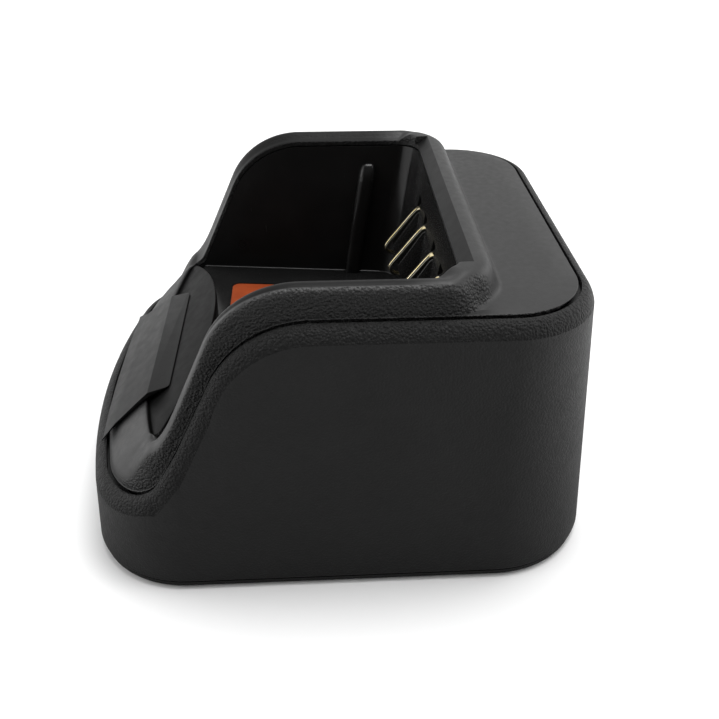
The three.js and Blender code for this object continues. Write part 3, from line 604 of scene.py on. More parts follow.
def metal(name, colour, low, high, grain=0.3):
    """Metal with fine scratches and uneven polish."""
    n = Nodes(name)
    fine = n.noise(grain, 4.0, 0.6)
    dull = n.remap(n.noise(2.0, 3.0), 0.35, 0.7, 0.0, 1.0)
    darker = tuple(c * 0.78 for c in colour[:3]) + (1.0,)
    return n.set(colour=n.mix(dull, colour, darker), metallic=1.0, roughness=n.remap(fine, 0.3, 0.7, low, high),
                 normal=n.bump(fine, 0.005, 0.4))


def plastic(name, colour, low, high):
    """Small moulded or sleeved piece with slight colour and gloss variation."""
    n = Nodes(name)
    fine = n.noise(0.35, 4.0, 0.6)
    deeper = tuple(c * 0.82 for c in colour[:3]) + (1.0,)
    shade_mix = n.remap(n.noise(2.5, 3.0), 0.35, 0.7, 0.0, 1.0)
    return n.set(colour=n.mix(shade_mix, colour, deeper), roughness=n.remap(fine, 0.3, 0.7, low, high),
                 normal=n.bump(fine, 0.008, 0.35))


def clear_plastic():
    n = Nodes("clear_plastic")
    fine = n.noise(0.6, 3.0)
    return n.set(colour=(0.85, 0.9, 0.92, 1.0), transmission=0.9, ior=1.49,
                 roughness=n.remap(fine, 0.3, 0.7, 0.04, 0.16), normal=n.bump(fine, 0.01, 0.2))


def circuit_board():
    """Green solder mask with tracks showing faintly through it."""
    n = Nodes("circuit_board")
    tracks = n.add("ShaderNodeTexBrick")
    n.feed(tracks.inputs["Vector"], n.coordinates)
    tracks.inputs["Scale"].default_value = 1 / (3.2 * MM)
    tracks.inputs["Mortar Size"].default_value = 0.06
    tracks.inputs["Color1"].default_value = (0.012, 0.09, 0.04, 1.0)
    tracks.inputs["Color2"].default_value = (0.014, 0.11, 0.048, 1.0)
    tracks.inputs["Mortar"].default_value = (0.03, 0.2, 0.08, 1.0)
    weave = n.noise(0.5, 3.0)
    return n.set(colour=tracks.outputs["Color"], roughness=n.remap(weave, 0.3, 0.7, 0.28, 0.42),
                 normal=n.bump(tracks.outputs["Fac"], 0.02, 0.5))


MATERIALS = {
    "case_grained": case_fine(),
    "case_band": case_coarse(),
    "cover_grained": cover_grained(),
    "pocket_gloss": pocket_gloss(),
    "pocket_rib": pocket_gloss("pocket_rib", 0.1),
    "panel_satin": panel_satin(),
    "chamfer_satin": panel_satin("chamfer_satin", 0.008, 0.42, 0.13),
    "nameplate_satin": panel_satin("nameplate_satin", 0.0085, 0.42, 0.15),
    "clear_plastic": clear_plastic(),
    "label_orange": label_orange(),
    "label_grey": label_grey(),
    "black_moulding": black_moulding(),
    "circuit_board": circuit_board(),
    "steel": metal("steel", (0.55, 0.56, 0.57, 1.0), 0.25, 0.45),
    "capacitor_sleeve": plastic("capacitor_sleeve", (0.02, 0.035, 0.09, 1.0), 0.28, 0.42),
    "copper_winding": metal("copper_winding", (0.72, 0.32, 0.13, 1.0), 0.22, 0.4),
    "heat_sink": metal("heat_sink", (0.6, 0.61, 0.62, 1.0), 0.35, 0.55),
    "fuse_body": plastic("fuse_body", (0.62, 0.6, 0.54, 1.0), 0.2, 0.35),
    "white_moulding": plastic("white_moulding", (0.66, 0.65, 0.6, 1.0), 0.38, 0.55),
    "rubber": rubber(),
    "contact_gold": contact_gold(),
    "contact_dull": contact_dull(),
    "lead_red": plastic("lead_red", (0.4, 0.02, 0.015, 1.0), 0.4, 0.55),
    "lead_black": plastic("lead_black", (0.014, 0.014, 0.015, 1.0), 0.4, 0.55),
    "lead_yellow": plastic("lead_yellow", (0.62, 0.45, 0.05, 1.0), 0.4, 0.55),
    "lead_white": plastic("lead_white", (0.6, 0.6, 0.56, 1.0), 0.4, 0.55),
}


# ---- Lower housing and base ----


def side_offset(z):
    """How far the side surface stands outside the deck-height parting line at a height."""
    return BAND + FLARE * (DECK_Z - BAND - z)


def build_lower_housing():
    seam, z, steep = seam_ring()
    base = outline(SEAM)
    ledge = 1.5
    lip_round = 0.18

    def seam_at(out, drop):
        return lifted(seam.moved(out), z - drop * steep)

    rings = [seam_at(GROOVE, ledge), seam_at(GROOVE, lip_round * 2), seam_at(GROOVE, lip_round)]
    rings.append(seam_at(GROOVE + lip_round * 0.3, lip_round * 0.3))
    last_turn = math.radians(62)
    band_rows = 14
    for turn in np.linspace(0.06, last_turn, band_rows):
        out = GROOVE + lip_round + (BAND - GROOVE - lip_round) * math.sin(turn) / math.sin(last_turn)
        rings.append(seam_at(out, BAND * (1 - math.cos(turn)) / (1 - math.cos(last_turn))))
    band_end = len(rings) - 1
    low_round = 0.7
    low_z = HOUSING_BOTTOM_Z + low_round
    low_ring = lifted(base.moved(side_offset(low_z)), low_z)
    for share in np.linspace(0, 1, 12)[1:]:
        rings.append(rings[band_end] * (1 - share) + low_ring * share)
    for turn in np.radians([22.5, 45, 67.5, 90]):
        out = side_offset(low_z) - low_round * (1 - math.cos(turn))
        rings.append(lifted(base.moved(out), low_z - low_round * math.sin(turn)))
    rings.append(lifted(base.moved(side_offset(HOUSING_BOTTOM_Z) - HOUSING_WALL), HOUSING_BOTTOM_Z))
    rings.append(seam_at(GROOVE - ledge, ledge))
    points, faces = loft(rings)
    obj = make("lower_housing_fine", (points, faces))
    rows = np.arange(len(rings)).repeat(len(z))
    zones = np.where(rows < band_end, 1, 0)
    obj.data.polygons.foreach_set("material_index", zones.astype(np.int32))
    bosses = [placed(turned([(4.2, PLATE_TOP_Z + CLEAR), (4.2, BOSS_TOP_Z)]), (x, y, 0)) for x, y in BOSS_CENTRES]
    carve(obj, "UNION", merged(*bosses))
    pilots = [placed(turned([(1.5, 0), (1.5, BOSS_TOP_Z - 2)], 24), (x, y, 0)) for x, y in BOSS_CENTRES]
    half = JACK_HALF_WIDTH + CLEAR
    inlet = block(-half, half, 40, 60, BOARD_TOP_Z - CLEAR, JACK_TOP_Z + CLEAR)
    carve(obj, "DIFFERENCE", merged(*pilots, inlet))
    finish_piece(obj, "cradle", [MATERIALS["case_grained"], MATERIALS["case_band"]],
                 ["lower_housing"])


def build_base_plate():
    plan = outline(SEAM)
    edge = side_offset(HOUSING_BOTTOM_Z) - 0.5
    spigot = side_offset(HOUSING_BOTTOM_Z) - HOUSING_WALL - CLEAR - 0.2
    round_edge = 0.35
    rings = [lifted(plan.moved(1.0), PLATE_BOTTOM_Z + 1.8)]
    rings.append(lifted(plan.moved(1.0), PLATE_TOP_Z))
    rings.append(lifted(plan.moved(spigot), PLATE_TOP_Z))
    rings.append(lifted(plan.moved(spigot), PLATE_RIM_TOP_Z))
    rings.append(lifted(plan.moved(edge), PLATE_RIM_TOP_Z))
    for turn in np.radians([0, 30, 60, 90]):
        out = edge - round_edge * (1 - math.cos(turn))
        rings.append(lifted(plan.moved(out), PLATE_BOTTOM_Z + round_edge * (1 - math.sin(turn))))
    obj = make("base_plate_fine", loft(rings, closed=False))
    floor_top = PLATE_BOTTOM_Z + 1.8
    posts = [placed(turned([(3, floor_top - 0.3), (3, BOARD_BOTTOM_Z)]), (x, y, 0)) for x, y in STANDOFFS]
    carve(obj, "UNION", merged(*posts))
    holes = [placed(turned([(1.35, PLATE_TOP_Z), (1.35, 20)], 24), (x, y, 0)) for x, y in STANDOFFS]
    for x, y in BOSS_CENTRES:
        holes.append(placed(turned([(3.3, 0), (3.3, PLATE_BOTTOM_Z + 1.4), (1.7, PLATE_BOTTOM_Z + 1.4),
                                    (1.7, 20)]), (x, y, 0)))
    for x, y in FOOT_CENTRES:
        holes.append(placed(turned([(FOOT_RADIUS + CLEAR, 0), (FOOT_RADIUS + CLEAR, PLATE_BOTTOM_Z + 1)], 64),
                            (x, y, 0)))
    carve(obj, "DIFFERENCE", merged(*holes))
    finish_piece(obj, "cradle", [MATERIALS["case_grained"]], ["base_plate"])


def build_feet():
    rounding = [(FOOT_RADIUS - 0.4, 0), (FOOT_RADIUS - 0.12, 0.1), (FOOT_RADIUS, 0.38)]
    profile = [*rounding, (FOOT_RADIUS, PLATE_BOTTOM_Z + 1)]
    for i, (x, y) in enumerate(FOOT_CENTRES):
        obj = make(f"foot_{i + 1}_fine", placed(turned(profile, 64), (x, y, 0)))
        finish_piece(obj, "cradle", [MATERIALS["rubber"]], [f"foot_{i + 1}"])


# ---- Top cover ----

# Cross-sections of the rim from its foot to the opening: fractions of its width and of its height.
RIM_SIDE = [(0, 0), (0.015, 0.2), (0.03, 0.5), (0.05, 0.74), (0.1, 0.87), (0.2, 0.95), (0.32, 0.99), (0.43, 1),
            (0.55, 0.97), (0.68, 0.89), (0.8, 0.82), (0.97, 0.78), (1, 0.74)]
RIM_REAR = [(0, 0), (0.05, 0.01), (0.12, 0.08), (0.18, 0.24), (0.24, 0.5), (0.32, 0.78), (0.41, 0.95), (0.5, 1.03),
            (0.6, 1.07), (0.7, 1.08), (0.84, 1.08), (0.97, 1.07), (1, 1.0)]
RIM_FRONT = [(0, 0), (0.06, 0.11), (0.14, 0.2), (0.22, 0.28), (0.32, 0.39), (0.42, 0.49), (0.52, 0.58), (0.62, 0.68),
             (0.72, 0.78), (0.82, 0.87), (0.9, 0.94), (0.97, 0.985), (1, 0.96)]
EDGE_LIP = 0.6  # visible thickness of the cover at the opening


def build_top_cover():
    seam, z, steep = seam_ring()
    collar = outline(COLLAR)
    opening = outline(OPENING)
    foot_rise = 0.35
    foot_z = z + foot_rise
    edge_xy = seam.moved(-GROOVE)
    foot_xy = collar.moved(FLARE * (DECK_Z - z))
    crest = crest_height(opening.xy[:, 1])
    rear = smoothstep(0.02, 0.62, seam.normal[:, 1])[:, None, None]
    front = smoothstep(0.25, 0.85, -seam.normal[:, 1])[:, None, None]
    side_rows, rear_rows, front_rows = rounded(RIM_SIDE), rounded(RIM_REAR), rounded(RIM_FRONT)
    profile = (side_rows * (1 - rear) + rear_rows * rear) * (1 - front) + front_rows * front
    last = profile.shape[1] - 1

    def rim_row(row):
        across, up = profile[:, row, 0], profile[:, row, 1]
        xy = foot_xy + (opening.xy - foot_xy) * across[:, None]
        height = foot_z + (crest - foot_z) * up
        stay_above = over_panel(opening.xy[:, 1], 0.4)
        return lifted(xy, np.maximum(height, stay_above) if row == last else height)

    opening_edge = rim_row(last)
    rings = [rim_row(row) for row in range(last, -1, -1)]
    edge_round = 0.22
    rim_foot = rings[-1]
    edge = lifted(edge_xy, foot_z)
    edge_in = lifted(seam.moved(-GROOVE - edge_round), foot_z)
    for share in (0.35, 0.7):
        rings.append(rim_foot * (1 - share) + edge_in * share)
    rings.append(edge_in)
    for turn in np.radians([30, 60, 90]):
        xy = seam.moved(-GROOVE - edge_round * (1 - math.sin(turn)))
        rings.append(lifted(xy, foot_z - edge_round * (1 - math.cos(turn)) * steep))
    rings.append(lifted(seam.moved(-GROOVE - 0.7), foot_z - 0.75 * steep))
    rings.append(lifted(seam.moved(-GROOVE - 0.7), foot_z - 1.3 * steep))
    rings.append(lifted(seam.moved(-GROOVE - 2), foot_z - 1.9 * steep))
    rings.append(lifted(Outline(foot_xy, collar.normal).moved(-2.4), foot_z - 1.9 * steep))
    lip_bottom = np.minimum(opening_edge[:, 2] - EDGE_LIP * steep, liner_top(opening.xy[:, 1]) + CLEAR)
    skirt_drop = 2.6
    rings.append(lifted(opening.moved(1.3), lip_bottom - skirt_drop * steep))
    rings.append(lifted(opening.moved(1.3), lip_bottom))
    rings.append(lifted(opening.xy, lip_bottom))
    obj = make("top_cover_fine", loft(rings))
    chamfer_half, chamfer_width, chamfer_drop = 34.4, 2.3, 2.0
    rear_crest = DECK_Z + foot_rise + (CREST_Z - DECK_Z - foot_rise) * 1.07
    y0 = OPENING["rear_y"]
    wedge = side_prism([(y0 - 3, rear_crest - chamfer_drop), (y0, rear_crest - chamfer_drop),
                        (y0 + chamfer_width, rear_crest + 0.05), (y0 + chamfer_width, rear_crest + 3),
                        (y0 - 3, rear_crest + 3)], -chamfer_half, chamfer_half)
    carve(obj, "DIFFERENCE", wedge)
    slot = block(-14.3, 14.3, -46.8, -44.2, 0, 40)
    carve(obj, "DIFFERENCE", slot)

    def chooser(centre, normal):
        on_wedge = (np.abs(centre[:, 0]) < chamfer_half + 0.1) & (centre[:, 1] > y0 - 0.2)
        on_wedge &= (centre[:, 1] < y0 + chamfer_width + 0.05) & (centre[:, 2] > rear_crest - chamfer_drop - 0.1)
        facing = (normal[:, 1] < -0.4) & (normal[:, 2] > 0.4)
        return np.where(on_wedge & facing, 1, 0)

    zone_by(obj, chooser)
    finish_piece(obj, "cradle", [MATERIALS["cover_grained"], MATERIALS["chamfer_satin"]],
                 ["top_cover"])


# ---- Front panel, nameplate and light guide ----


def panel_plan(inset, side_inset=None, steps=40):
    """Plan of the panel: an arched rear edge, short sides and a front edge that follows the opening."""
    half = OPENING["half_width"] + 0.1 - (inset if side_inset is None else side_inset)
    x = np.linspace(half, -half, steps)
    arch = PANEL_ARCH_Y - inset - (PANEL_ARCH_RADIUS - np.sqrt(PANEL_ARCH_RADIUS**2 - x**2))
    front_x = x[::-1]
    bulge = OPENING["bulge"]
    front = OPENING["front_y"] + 0.35 + inset + bulge - np.sqrt(bulge**2 - front_x**2)
    return np.vstack([np.column_stack([x, arch]), np.column_stack([front_x, front])])


def on_panel(plan, depth):
    return lifted(plan, panel_height(plan[:, 1]) - depth)


def build_front_panel():
    """The panel and, along its front, a lower step that shows as a narrow groove beside the cover."""
    edge, step_depth, step_reach = 0.3, 0.25, 0.95
    rings = [on_panel(panel_plan(0), PANEL_THICKNESS)]
    for turn in np.radians([0, 30, 60, 90]):
        plan = panel_plan(edge * (1 - math.cos(turn)))
        rings.append(on_panel(plan, edge * (1 - math.sin(turn))))
    obj = make("front_panel_fine", loft(rings, closed=False))
    step_plan = panel_plan(0.4, 0.05)
    step_plan[len(step_plan) // 2:, 1] -= 0.4 + step_reach
    step = loft([on_panel(step_plan, PANEL_THICKNESS - 0.1), on_panel(step_plan, step_depth)], closed=False)
    carve(obj, "UNION", step)
    finish_piece(obj, "cradle", [MATERIALS["panel_satin"]], ["front_panel"])


# The nameplate bends down at its fold and ends above the parting line.
NAMEPLATE = dict(rear_y=-34.4, fold_y=-39.1, end_y=-49, front_y=-49.9, fold_z=28.8, end_z=20.3)
NAMEPLATE_THICKNESS, NAMEPLATE_END_THICKNESS, NAMEPLATE_BULGE = 1.2, 0.4, 300
NAMEPLATE_SIDE = [(26, -49), (25.3, -48.2), (23.4, -46.4), (21.9, -41.5), (21.3, -39.1), (20.9, -35.2),
                  (20.7, -34.8), (20.3, -34.5), (19.9, -34.4)]


def build_nameplate():
    fold_y, end_y, rear_y = NAMEPLATE["fold_y"], NAMEPLATE["end_y"], NAMEPLATE["rear_y"]
    fold_z, end_z = NAMEPLATE["fold_z"], NAMEPLATE["end_z"]
    x = np.linspace(-NAMEPLATE_SIDE[0][0], NAMEPLATE_SIDE[0][0], 40)[1:-1]
    front = NAMEPLATE["front_y"] + x**2 / (2 * NAMEPLATE_BULGE)
    left = [(-px, py) for px, py in reversed(NAMEPLATE_SIDE)]
    obj = make("nameplate_fine", upright([*left, *zip(x, front), *NAMEPLATE_SIDE], 10, 40))
    panel_z = float(panel_height(rear_y))
    slope = (fold_z - end_z) / (fold_y - end_y)
    under_slope = (fold_z - NAMEPLATE_THICKNESS - end_z + NAMEPLATE_END_THICKNESS) / (fold_y - end_y)
    beyond = 3
    profile = [(rear_y, panel_z + 0.05), (rear_y, panel_z + 0.3), (fold_y, fold_z),
               (end_y - beyond, end_z - beyond * slope),
               (end_y - beyond, end_z - NAMEPLATE_END_THICKNESS - beyond * under_slope),
               (fold_y, fold_z - NAMEPLATE_THICKNESS), (rear_y - 0.3, panel_z + 0.05)]
    carve(obj, "INTERSECT", side_prism(profile, -30, 30))
    soften(obj, 0.13, 3, 25)
    finish_piece(obj, "cradle", [MATERIALS["nameplate_satin"]], ["nameplate"], 20)


# ---- Pocket ----


def pocket_plan(outside):
    """Plan of the pocket at floor height, following the opening at a distance outside the inner wall."""
    shape = dict(OPENING, half_width=POCKET_HALF_WIDTH, front_y=OPENING["front_y"] + 0.3)
    inner = outline(shape)
    slide = (POCKET_REAR_Y - OPENING["rear_y"]) * smoothstep(0, 15, inner.xy[:, 1])
    plan = inner.moved(outside)
    plan[:, 1] += slide
    return plan


def leaned(points):
    """Pushes points back in proportion to their height above the floor; the front end stays upright."""
    points = points.copy()
    share = smoothstep(-6, 12, points[:, 1])
    points[:, 1] += share * LEAN * (points[:, 2] - FLOOR_Z)
    return points


def liner_top(y):
    """Top of the pocket's side walls, just under the cover's lip."""
    slope = curve_height(SEAM_CURVE, y + 0.5) - curve_height(SEAM_CURVE, y - 0.5)
    low = curve_height(SEAM_CURVE, y)
    lip_top = np.maximum(low + (crest_height(y) - low) * 0.72, over_panel(y, 0.4))
    return lip_top - EDGE_LIP * np.hypot(1, slope) - CLEAR


def build_pocket_liner():
    fillet = 0.4
    tub = loft([leaned(lifted(pocket_plan(POCKET_WALL), z)) for z in np.linspace(15, 70, 12)], closed=False)
    cavity_rings = []
    for turn in np.radians([90, 75, 60, 45, 30, 15, 0]):
        plan = pocket_plan(-fillet * (1 - math.cos(turn)))
        cavity_rings.append(lifted(plan, floor_height(plan[:, 1]) + fillet * (1 - math.sin(turn))))
    for z in np.linspace(34, 80, 12):
        cavity_rings.append(leaned(lifted(pocket_plan(0), z)))
    cavity_rings = [leaned(ring) if k < 7 else ring for k, ring in enumerate(cavity_rings)]
    y = np.linspace(-45, 0, 60)
    wall_top = [*zip(y, liner_top(y)), (60, float(liner_top(0)))]
    floor_under = [(p, float(floor_height(p)) - FLOOR_THICKNESS) for p in (-30, 60)]
    envelope = side_prism([(-60, 18), (-36, 18), *floor_under, *wall_top[::-1], (-60, wall_top[0][1])], -50, 50)
    obj = make("pocket_liner_fine", tub)
    carve(obj, "INTERSECT", envelope)
    cavity = make("cavity", loft(cavity_rings, closed=False))
    depth = PANEL_THICKNESS + 0.1
    below = [(-60, 0), (-20, 0), (-20, float(panel_height(-20)) - depth), (-60, float(panel_height(-60)) - depth)]
    dam = make("dam", upright(panel_plan(-0.2), 10, 60))
    carve(dam, "INTERSECT", side_prism(below, -50, 50))
    carve(cavity, "DIFFERENCE", shape_of(dam))
    carve(obj, "DIFFERENCE", shape_of(cavity))
    front = make("front_hollow", upright(pocket_plan(0), 10, 80))
    above = [(-60, float(panel_height(-60)) - depth), (-24, float(panel_height(-24)) - depth), (-24, 90), (-60, 90)]
    carve(front, "INTERSECT", side_prism(above, -50, 50))
    carve(obj, "DIFFERENCE", shape_of(front))
    for tool in (dam, cavity, front):
        bpy.data.objects.remove(tool)
    core_depth = PANEL_THICKNESS + 1.6
    core = make("core", upright(panel_plan(1.6, 8), 5, 60))
    under = [(-60, 5), (-20, 5), (-20, float(panel_height(-20)) - core_depth),
             (-60, float(panel_height(-60)) - core_depth)]
    carve(core, "INTERSECT", side_prism(under, -50, 50))
    carve(obj, "DIFFERENCE", shape_of(core))
    bpy.data.objects.remove(core)
    ribs = [guide_rib(side) for side in (-1, 1)]
    carve(obj, "UNION", merged(*ribs))
    slots = [block(x - 1.8, x + 1.8, 12, 30, 38.5, 55.5) for x in CONTACT_X]
    carve(obj, "DIFFERENCE", merged(*slots))
    beside_panel_y = -33.6
    over = [(y, float(panel_height(y)) - 1) for y in (-60, beside_panel_y)]
    carve(obj, "DIFFERENCE", side_prism([*over, (beside_panel_y, 90), (-60, 90)], -50, 50))
    carve(obj, "DIFFERENCE", floor_patch(LABEL_RECESS, [(0, -0.2), (0, 2)]))

    def chooser(centre, normal):
        """The ribs, up to the start of their rounded tops, shine less than the rest."""
        upright_y = centre[:, 1] - LEAN * (centre[:, 2] - FLOOR_Z)
        on_rib = (np.abs(upright_y - RIB_Y) < RIB_HALF_LENGTH + 0.1) & (centre[:, 2] < RIB_TOP_Z)
        return np.where(on_rib & (np.abs(centre[:, 0]) < POCKET_HALF_WIDTH - 0.05) & (normal[:, 2] < 0.7), 1, 0)

    zone_by(obj, chooser)
    finish_piece(obj, "cradle", [MATERIALS["pocket_gloss"], MATERIALS["pocket_rib"]],
                 ["pocket_liner"], 24)


def shape_of(obj):
    points = np.array([v.co for v in obj.data.vertices]) / MM
    return points, [tuple(p.vertices) for p in obj.data.polygons]


RIB_Y, RIB_HALF_LENGTH, RIB_STANDS_OUT, RIB_ROUND = 7.5, 2.1, 1.8, 1.4
RIB_TOP_Z, RIB_CAP = 53, 4.2


def guide_rib(side):
    """An upright rib that guides the side of the radio, with rounded edges and a rounded top."""
    outer, inner = POCKET_HALF_WIDTH + 0.4, POCKET_HALF_WIDTH - RIB_STANDS_OUT
    front_y, rear_y = RIB_Y - RIB_HALF_LENGTH, RIB_Y + RIB_HALF_LENGTH
    plan = [(outer, front_y), (outer, rear_y)]
    for centre_y, start in ((rear_y - RIB_ROUND, 90), (front_y + RIB_ROUND, 180)):
        for turn in np.radians(start + np.linspace(0, 90, 7)):
            plan.append((inner + RIB_ROUND * (1 + math.cos(turn)), centre_y + RIB_ROUND * math.sin(turn)))
    plan = np.array(plan) * (side, 1)
    rings = [lifted(plan, FLOOR_Z - 1.6), lifted(plan, RIB_TOP_Z)]
    for turn in np.radians([15, 30, 45, 60, 75, 85]):
        shrink = 1 - math.cos(turn)
        top = plan.copy()
        top[:, 0] = side * np.minimum(np.abs(plan[:, 0]) + (RIB_STANDS_OUT + 0.3) * shrink, outer)
        top[:, 1] = RIB_Y + (plan[:, 1] - RIB_Y) * (1 - 0.4 * shrink)
        rings.append(lifted(top, RIB_TOP_Z + RIB_CAP * math.sin(turn)))
    for ring in rings:
        ring[:, 1] += LEAN * (ring[:, 2] - FLOOR_Z)
    return loft(rings, closed=False)


LABEL = dict(half_width=27, front_y=-24, rear_y=-3, corner=2)
LABEL_RECESS = dict(half_width=27.3, front_y=-24.3, rear_y=-2.7, corner=2.3)


def floor_patch(size, layers):
    """A rounded rectangle on the pocket's floor. Each layer is an inset and a height above the floor."""
    rings = []
    for inset, up in layers:
        half, corner = size["half_width"] - inset, size["corner"] - inset
        plan = rounded_rectangle(-half, half, size["front_y"] + inset, size["rear_y"] - inset, corner, 10)
        plan = np.array(plan)
        rings.append(lifted(plan, floor_height(plan[:, 1]) + up))
    return loft(rings, closed=False)


def build_pocket_label():
    obj = make("pocket_label_fine", floor_patch(LABEL, [(0, -0.18), (0, -0.07), (0.05, -0.03)]))
    finish_piece(obj, "cradle", [MATERIALS["label_orange"]], ["pocket_label"])


# ---- Charging contacts ----

CARRIER = dict(front_gap=0.4, rear_y=28.6, bottom_z=36.5, top_z=56.4, half_width=23)
SPRING_PIVOT = (25, 52.7)
SPRING_WIDTH, SPRING_RIDGE_WIDTH = 1.9, 0.7


def bent_strip(path, thickness, width, x):
    """A bent strip of sheet metal: a side-view path given a thickness."""
    path = np.asarray(path, float)
    along = np.gradient(path, axis=0)
    along /= np.linalg.norm(along, axis=1)[:, None]
    normal = np.column_stack([-along[:, 1], along[:, 0]])
    profile = np.vstack([path + normal * thickness / 2, (path - normal * thickness / 2)[::-1]])
    return side_prism(profile, x - width / 2, x + width / 2)


def build_contact_springs():
    """Each strip carries a polished ridge along its middle."""
    y, z = SPRING_PIVOT
    path = rounded([(y + 0.6, z), (23.3, z), (22.3, z), (21.4, 52.2), (18.2, 48), (14.9, 43.8), (14.6, 42.8),
                    (15, 41.9), (16, 41.3), (19, 40.6), (22.2, 39.9)], 2)
    ridge_path = path[(path[:, 1] > 41.5) & (path[:, 0] < 22)] + np.array([-0.14, 0.1])
    for i, x in enumerate(CONTACT_X):
        obj = make(f"contact_spring_{i + 1}_fine", bent_strip(path, 0.45, SPRING_WIDTH, x))
        soften(obj, 0.12, 3, 40)
        ridge = make("ridge", bent_strip(ridge_path, 0.45, SPRING_RIDGE_WIDTH, x))
        soften(ridge, 0.14, 3, 40)
        carve(obj, "UNION", shape_of(ridge))
        bpy.data.objects.remove(ridge)

        def chooser(centre, normal):
            return np.where(np.abs(centre[:, 0] - x) < SPRING_RIDGE_WIDTH / 2 + 0.02, 0, 1)

        zone_by(obj, chooser)
        finish_piece(obj, f"contact_{i + 1}", [MATERIALS["contact_gold"], MATERIALS["contact_dull"]],
                     [f"contact_spring_{i + 1}"], 35)


def build_contact_carrier():
    wall_back = POCKET_REAR_Y + POCKET_WALL + CARRIER["front_gap"]
    low, high, rear = CARRIER["bottom_z"], CARRIER["top_z"], CARRIER["rear_y"]
    half = CARRIER["half_width"]
    body = [(wall_back + LEAN * (low - FLOOR_Z), low), (rear, low), (rear, high),
            (wall_back + LEAN * (high - FLOOR_Z), high)]
    obj = make("contact_carrier_fine", side_prism(body, -half, half))
    cells = [block(x - 1.6, x + 1.6, 15, 27.2, 38.2, 55.4) for x in CONTACT_X]
    carve(obj, "DIFFERENCE", merged(*cells))
    guard = [(24, 53.8), (21.6, 52), (16.4, 44.1), (17, 39.4), (24, 38.6)]
    fins = [side_prism(guard, x + side - 0.18, x + side + 0.18) for x in CONTACT_X for side in (-1.6, 1.6)]
    carve(obj, "UNION", merged(*fins))
    holes = [along_y(turned([(1.4, 0), (1.4, 25)], 32), (x, 15, 46)) for x in (-12.5, 12.5)]
    carve(obj, "DIFFERENCE", merged(*holes))
    soften(obj, 0.08, 2, 40)
    finish_piece(obj, "cradle", [MATERIALS["black_moulding"]], ["contact_carrier"], 35)


# ---- Carried-over CAD nodes: their shape stays, and they get node materials ----

CARRIED = {
    "light_guide": "clear_plastic",
    "rating_label": "label_grey",
    "carrier_screw_left": "steel",
    "carrier_screw_right": "steel",
    "main_board": "circuit_board",
    "power_jack": "black_moulding",
    "power_jack_pin": "steel",
    "status_led_left": "clear_plastic",
    "status_led_right": "clear_plastic",
    "input_capacitor": "capacitor_sleeve",
    "output_capacitor": "capacitor_sleeve",
    "inductor": "copper_winding",
    "charge_controller": "black_moulding",
    "power_transistor": "black_moulding",
    "heat_sink": "heat_sink",
    "fuse": "fuse_body",
    "lead_header": "white_moulding",
    "contact_lead_1": "lead_red",
    "contact_lead_2": "lead_black",
    "contact_lead_3": "lead_yellow",
    "contact_lead_4": "lead_white",
}
CARRIED.update({f"case_screw_{i}": "steel" for i in range(1, 5)})
CARRIED.update({f"board_screw_{i}": "steel" for i in range(1, 5)})


def dress_carried_nodes():
    for node, material in CARRIED.items():
        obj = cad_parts[node]
        obj.data.materials.clear()
        obj.data.materials.append(MATERIALS[material])


build_lower_housing()
build_base_plate()
build_feet()
build_top_cover()
build_front_panel()
build_nameplate()
build_pocket_liner()
build_pocket_label()
build_contact_springs()
build_contact_carrier()
dress_carried_nodes()


# ---- Floor, light and camera ----


def build_floor():
    mesh = bpy.data.meshes.new("floor")
    reach = 6.0
    mesh.from_pydata([(-reach, -reach, 0), (reach, -reach, 0), (reach, reach, 0), (-reach, reach, 0)], [],
                     [(0, 1, 2, 3)])
    floor = bpy.data.objects.new("floor", mesh)
    bpy.context.scene.collection.objects.link(floor)
    n = Nodes("floor_white")
    seen = n.add("ShaderNodeLightPath").outputs["Is Camera Ray"]
    split = n.add("ShaderNodeSeparateXYZ")
    n.feed(split.inputs[0], n.coordinates)
    aside = n.remap(n.maths("ABSOLUTE", split.outputs["Y"]), 0.055, 0.16, 0.0, 1.0, smooth=True)
    # Painted bounce light: to rays other than camera rays the floor is dark grey within about 55 mm of the middle
    # along Y and white beyond 160 mm, which keeps the flank dark and lights the front and rear corners; the camera
    # sees it evenly white.
    painted_bounce_colour = n.mix(aside, grey(0.35), grey(0.97))
    n.set(colour=n.mix(seen, painted_bounce_colour, grey(0.97)), roughness=0.9, specular=0.1)
    floor.data.materials.append(n.material)


CAMERA_AT = Vector((173.76, -3.18, 134.99)) * MM
CAMERA_TURN, CAMERA_PITCH, CAMERA_ROLL = 0.05993, 0.57603, 0.00536
CAMERA_LENS = 43.40


def camera_axes():
    flat = Vector((-math.cos(CAMERA_TURN), math.sin(CAMERA_TURN), 0))
    right = Vector((math.sin(CAMERA_TURN), math.cos(CAMERA_TURN), 0))
    forward = math.cos(CAMERA_PITCH) * flat - Vector((0, 0, math.sin(CAMERA_PITCH)))
    up = math.sin(CAMERA_PITCH) * flat + Vector((0, 0, math.cos(CAMERA_PITCH)))
    c, s = math.cos(CAMERA_ROLL), math.sin(CAMERA_ROLL)
    return c * right + s * up, c * up - s * right, -forward


def build_camera():
    camera = bpy.data.objects.new("camera", bpy.data.cameras.new("camera"))
    camera.data.lens = CAMERA_LENS
    camera.data.sensor_width = 36
    camera.data.clip_start = 0.01
    x, y, z = camera_axes()
    camera.matrix_world = Matrix.Translation(CAMERA_AT) @ Matrix((x, y, z)).transposed().to_4x4()
    bpy.context.scene.collection.objects.link(camera)
    bpy.context.scene.camera = camera


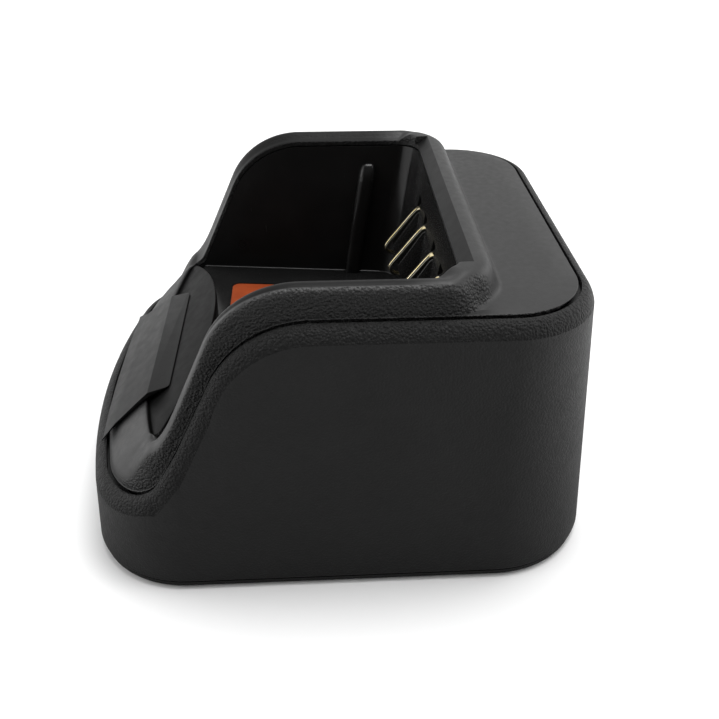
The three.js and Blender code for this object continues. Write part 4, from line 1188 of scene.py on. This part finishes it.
def build_world():
    """A light tent: white all round, brightest to the front and rear, dark on the camera's side."""
    world = bpy.data.worlds.new("studio")
    bpy.context.scene.world = world
    world.use_nodes = True
    tree = world.node_tree
    nodes = tree.nodes
    background = nodes["Background"]
    coordinates = nodes.new("ShaderNodeTexCoord")
    dot = nodes.new("ShaderNodeVectorMath")
    dot.operation = "DOT_PRODUCT"
    dot.inputs[1].default_value = Vector((0.93, 0.0, 0.37)).normalized()
    tree.links.new(coordinates.outputs["Generated"], dot.inputs[0])
    ramp = nodes.new("ShaderNodeMapRange")
    ramp.interpolation_type = "SMOOTHSTEP"
    for socket, value in zip(ramp.inputs[1:5], (0.2, 0.8, 0.92, 0.1)):
        socket.default_value = value
    tree.links.new(dot.outputs["Value"], ramp.inputs[0])
    split = nodes.new("ShaderNodeSeparateXYZ")
    tree.links.new(coordinates.outputs["Generated"], split.inputs[0])
    sideways = nodes.new("ShaderNodeMath")
    sideways.operation = "ABSOLUTE"
    tree.links.new(split.outputs["Y"], sideways.inputs[0])
    boxes = nodes.new("ShaderNodeMapRange")
    boxes.interpolation_type = "SMOOTHSTEP"
    for socket, value in zip(boxes.inputs[1:5], (0.55, 0.9, 0.0, 1.3)):
        socket.default_value = value
    tree.links.new(sideways.outputs[0], boxes.inputs[0])
    total = nodes.new("ShaderNodeMath")
    tree.links.new(ramp.outputs[0], total.inputs[0])
    tree.links.new(boxes.outputs[0], total.inputs[1])
    tree.links.new(total.outputs[0], background.inputs["Strength"])
    background.inputs["Color"].default_value = (1.0, 1.0, 1.0, 1.0)


def area_light(name, position, target, size, power):
    light = bpy.data.lights.new(name, "AREA")
    light.shape = "DISK"
    light.size = size
    light.energy = power
    obj = bpy.data.objects.new(name, light)
    obj.location = position
    obj.rotation_mode = "QUATERNION"
    obj.rotation_quaternion = (Vector(target) - Vector(position)).to_track_quat("-Z", "Y")
    bpy.context.scene.collection.objects.link(obj)


build_floor()
build_camera()
build_world()
area_light("top_softbox", (-0.1, 0.15, 0.9), (0, 0, 0.03), 0.6, 6.0)
bpy.context.scene.view_settings.view_transform = "Standard"
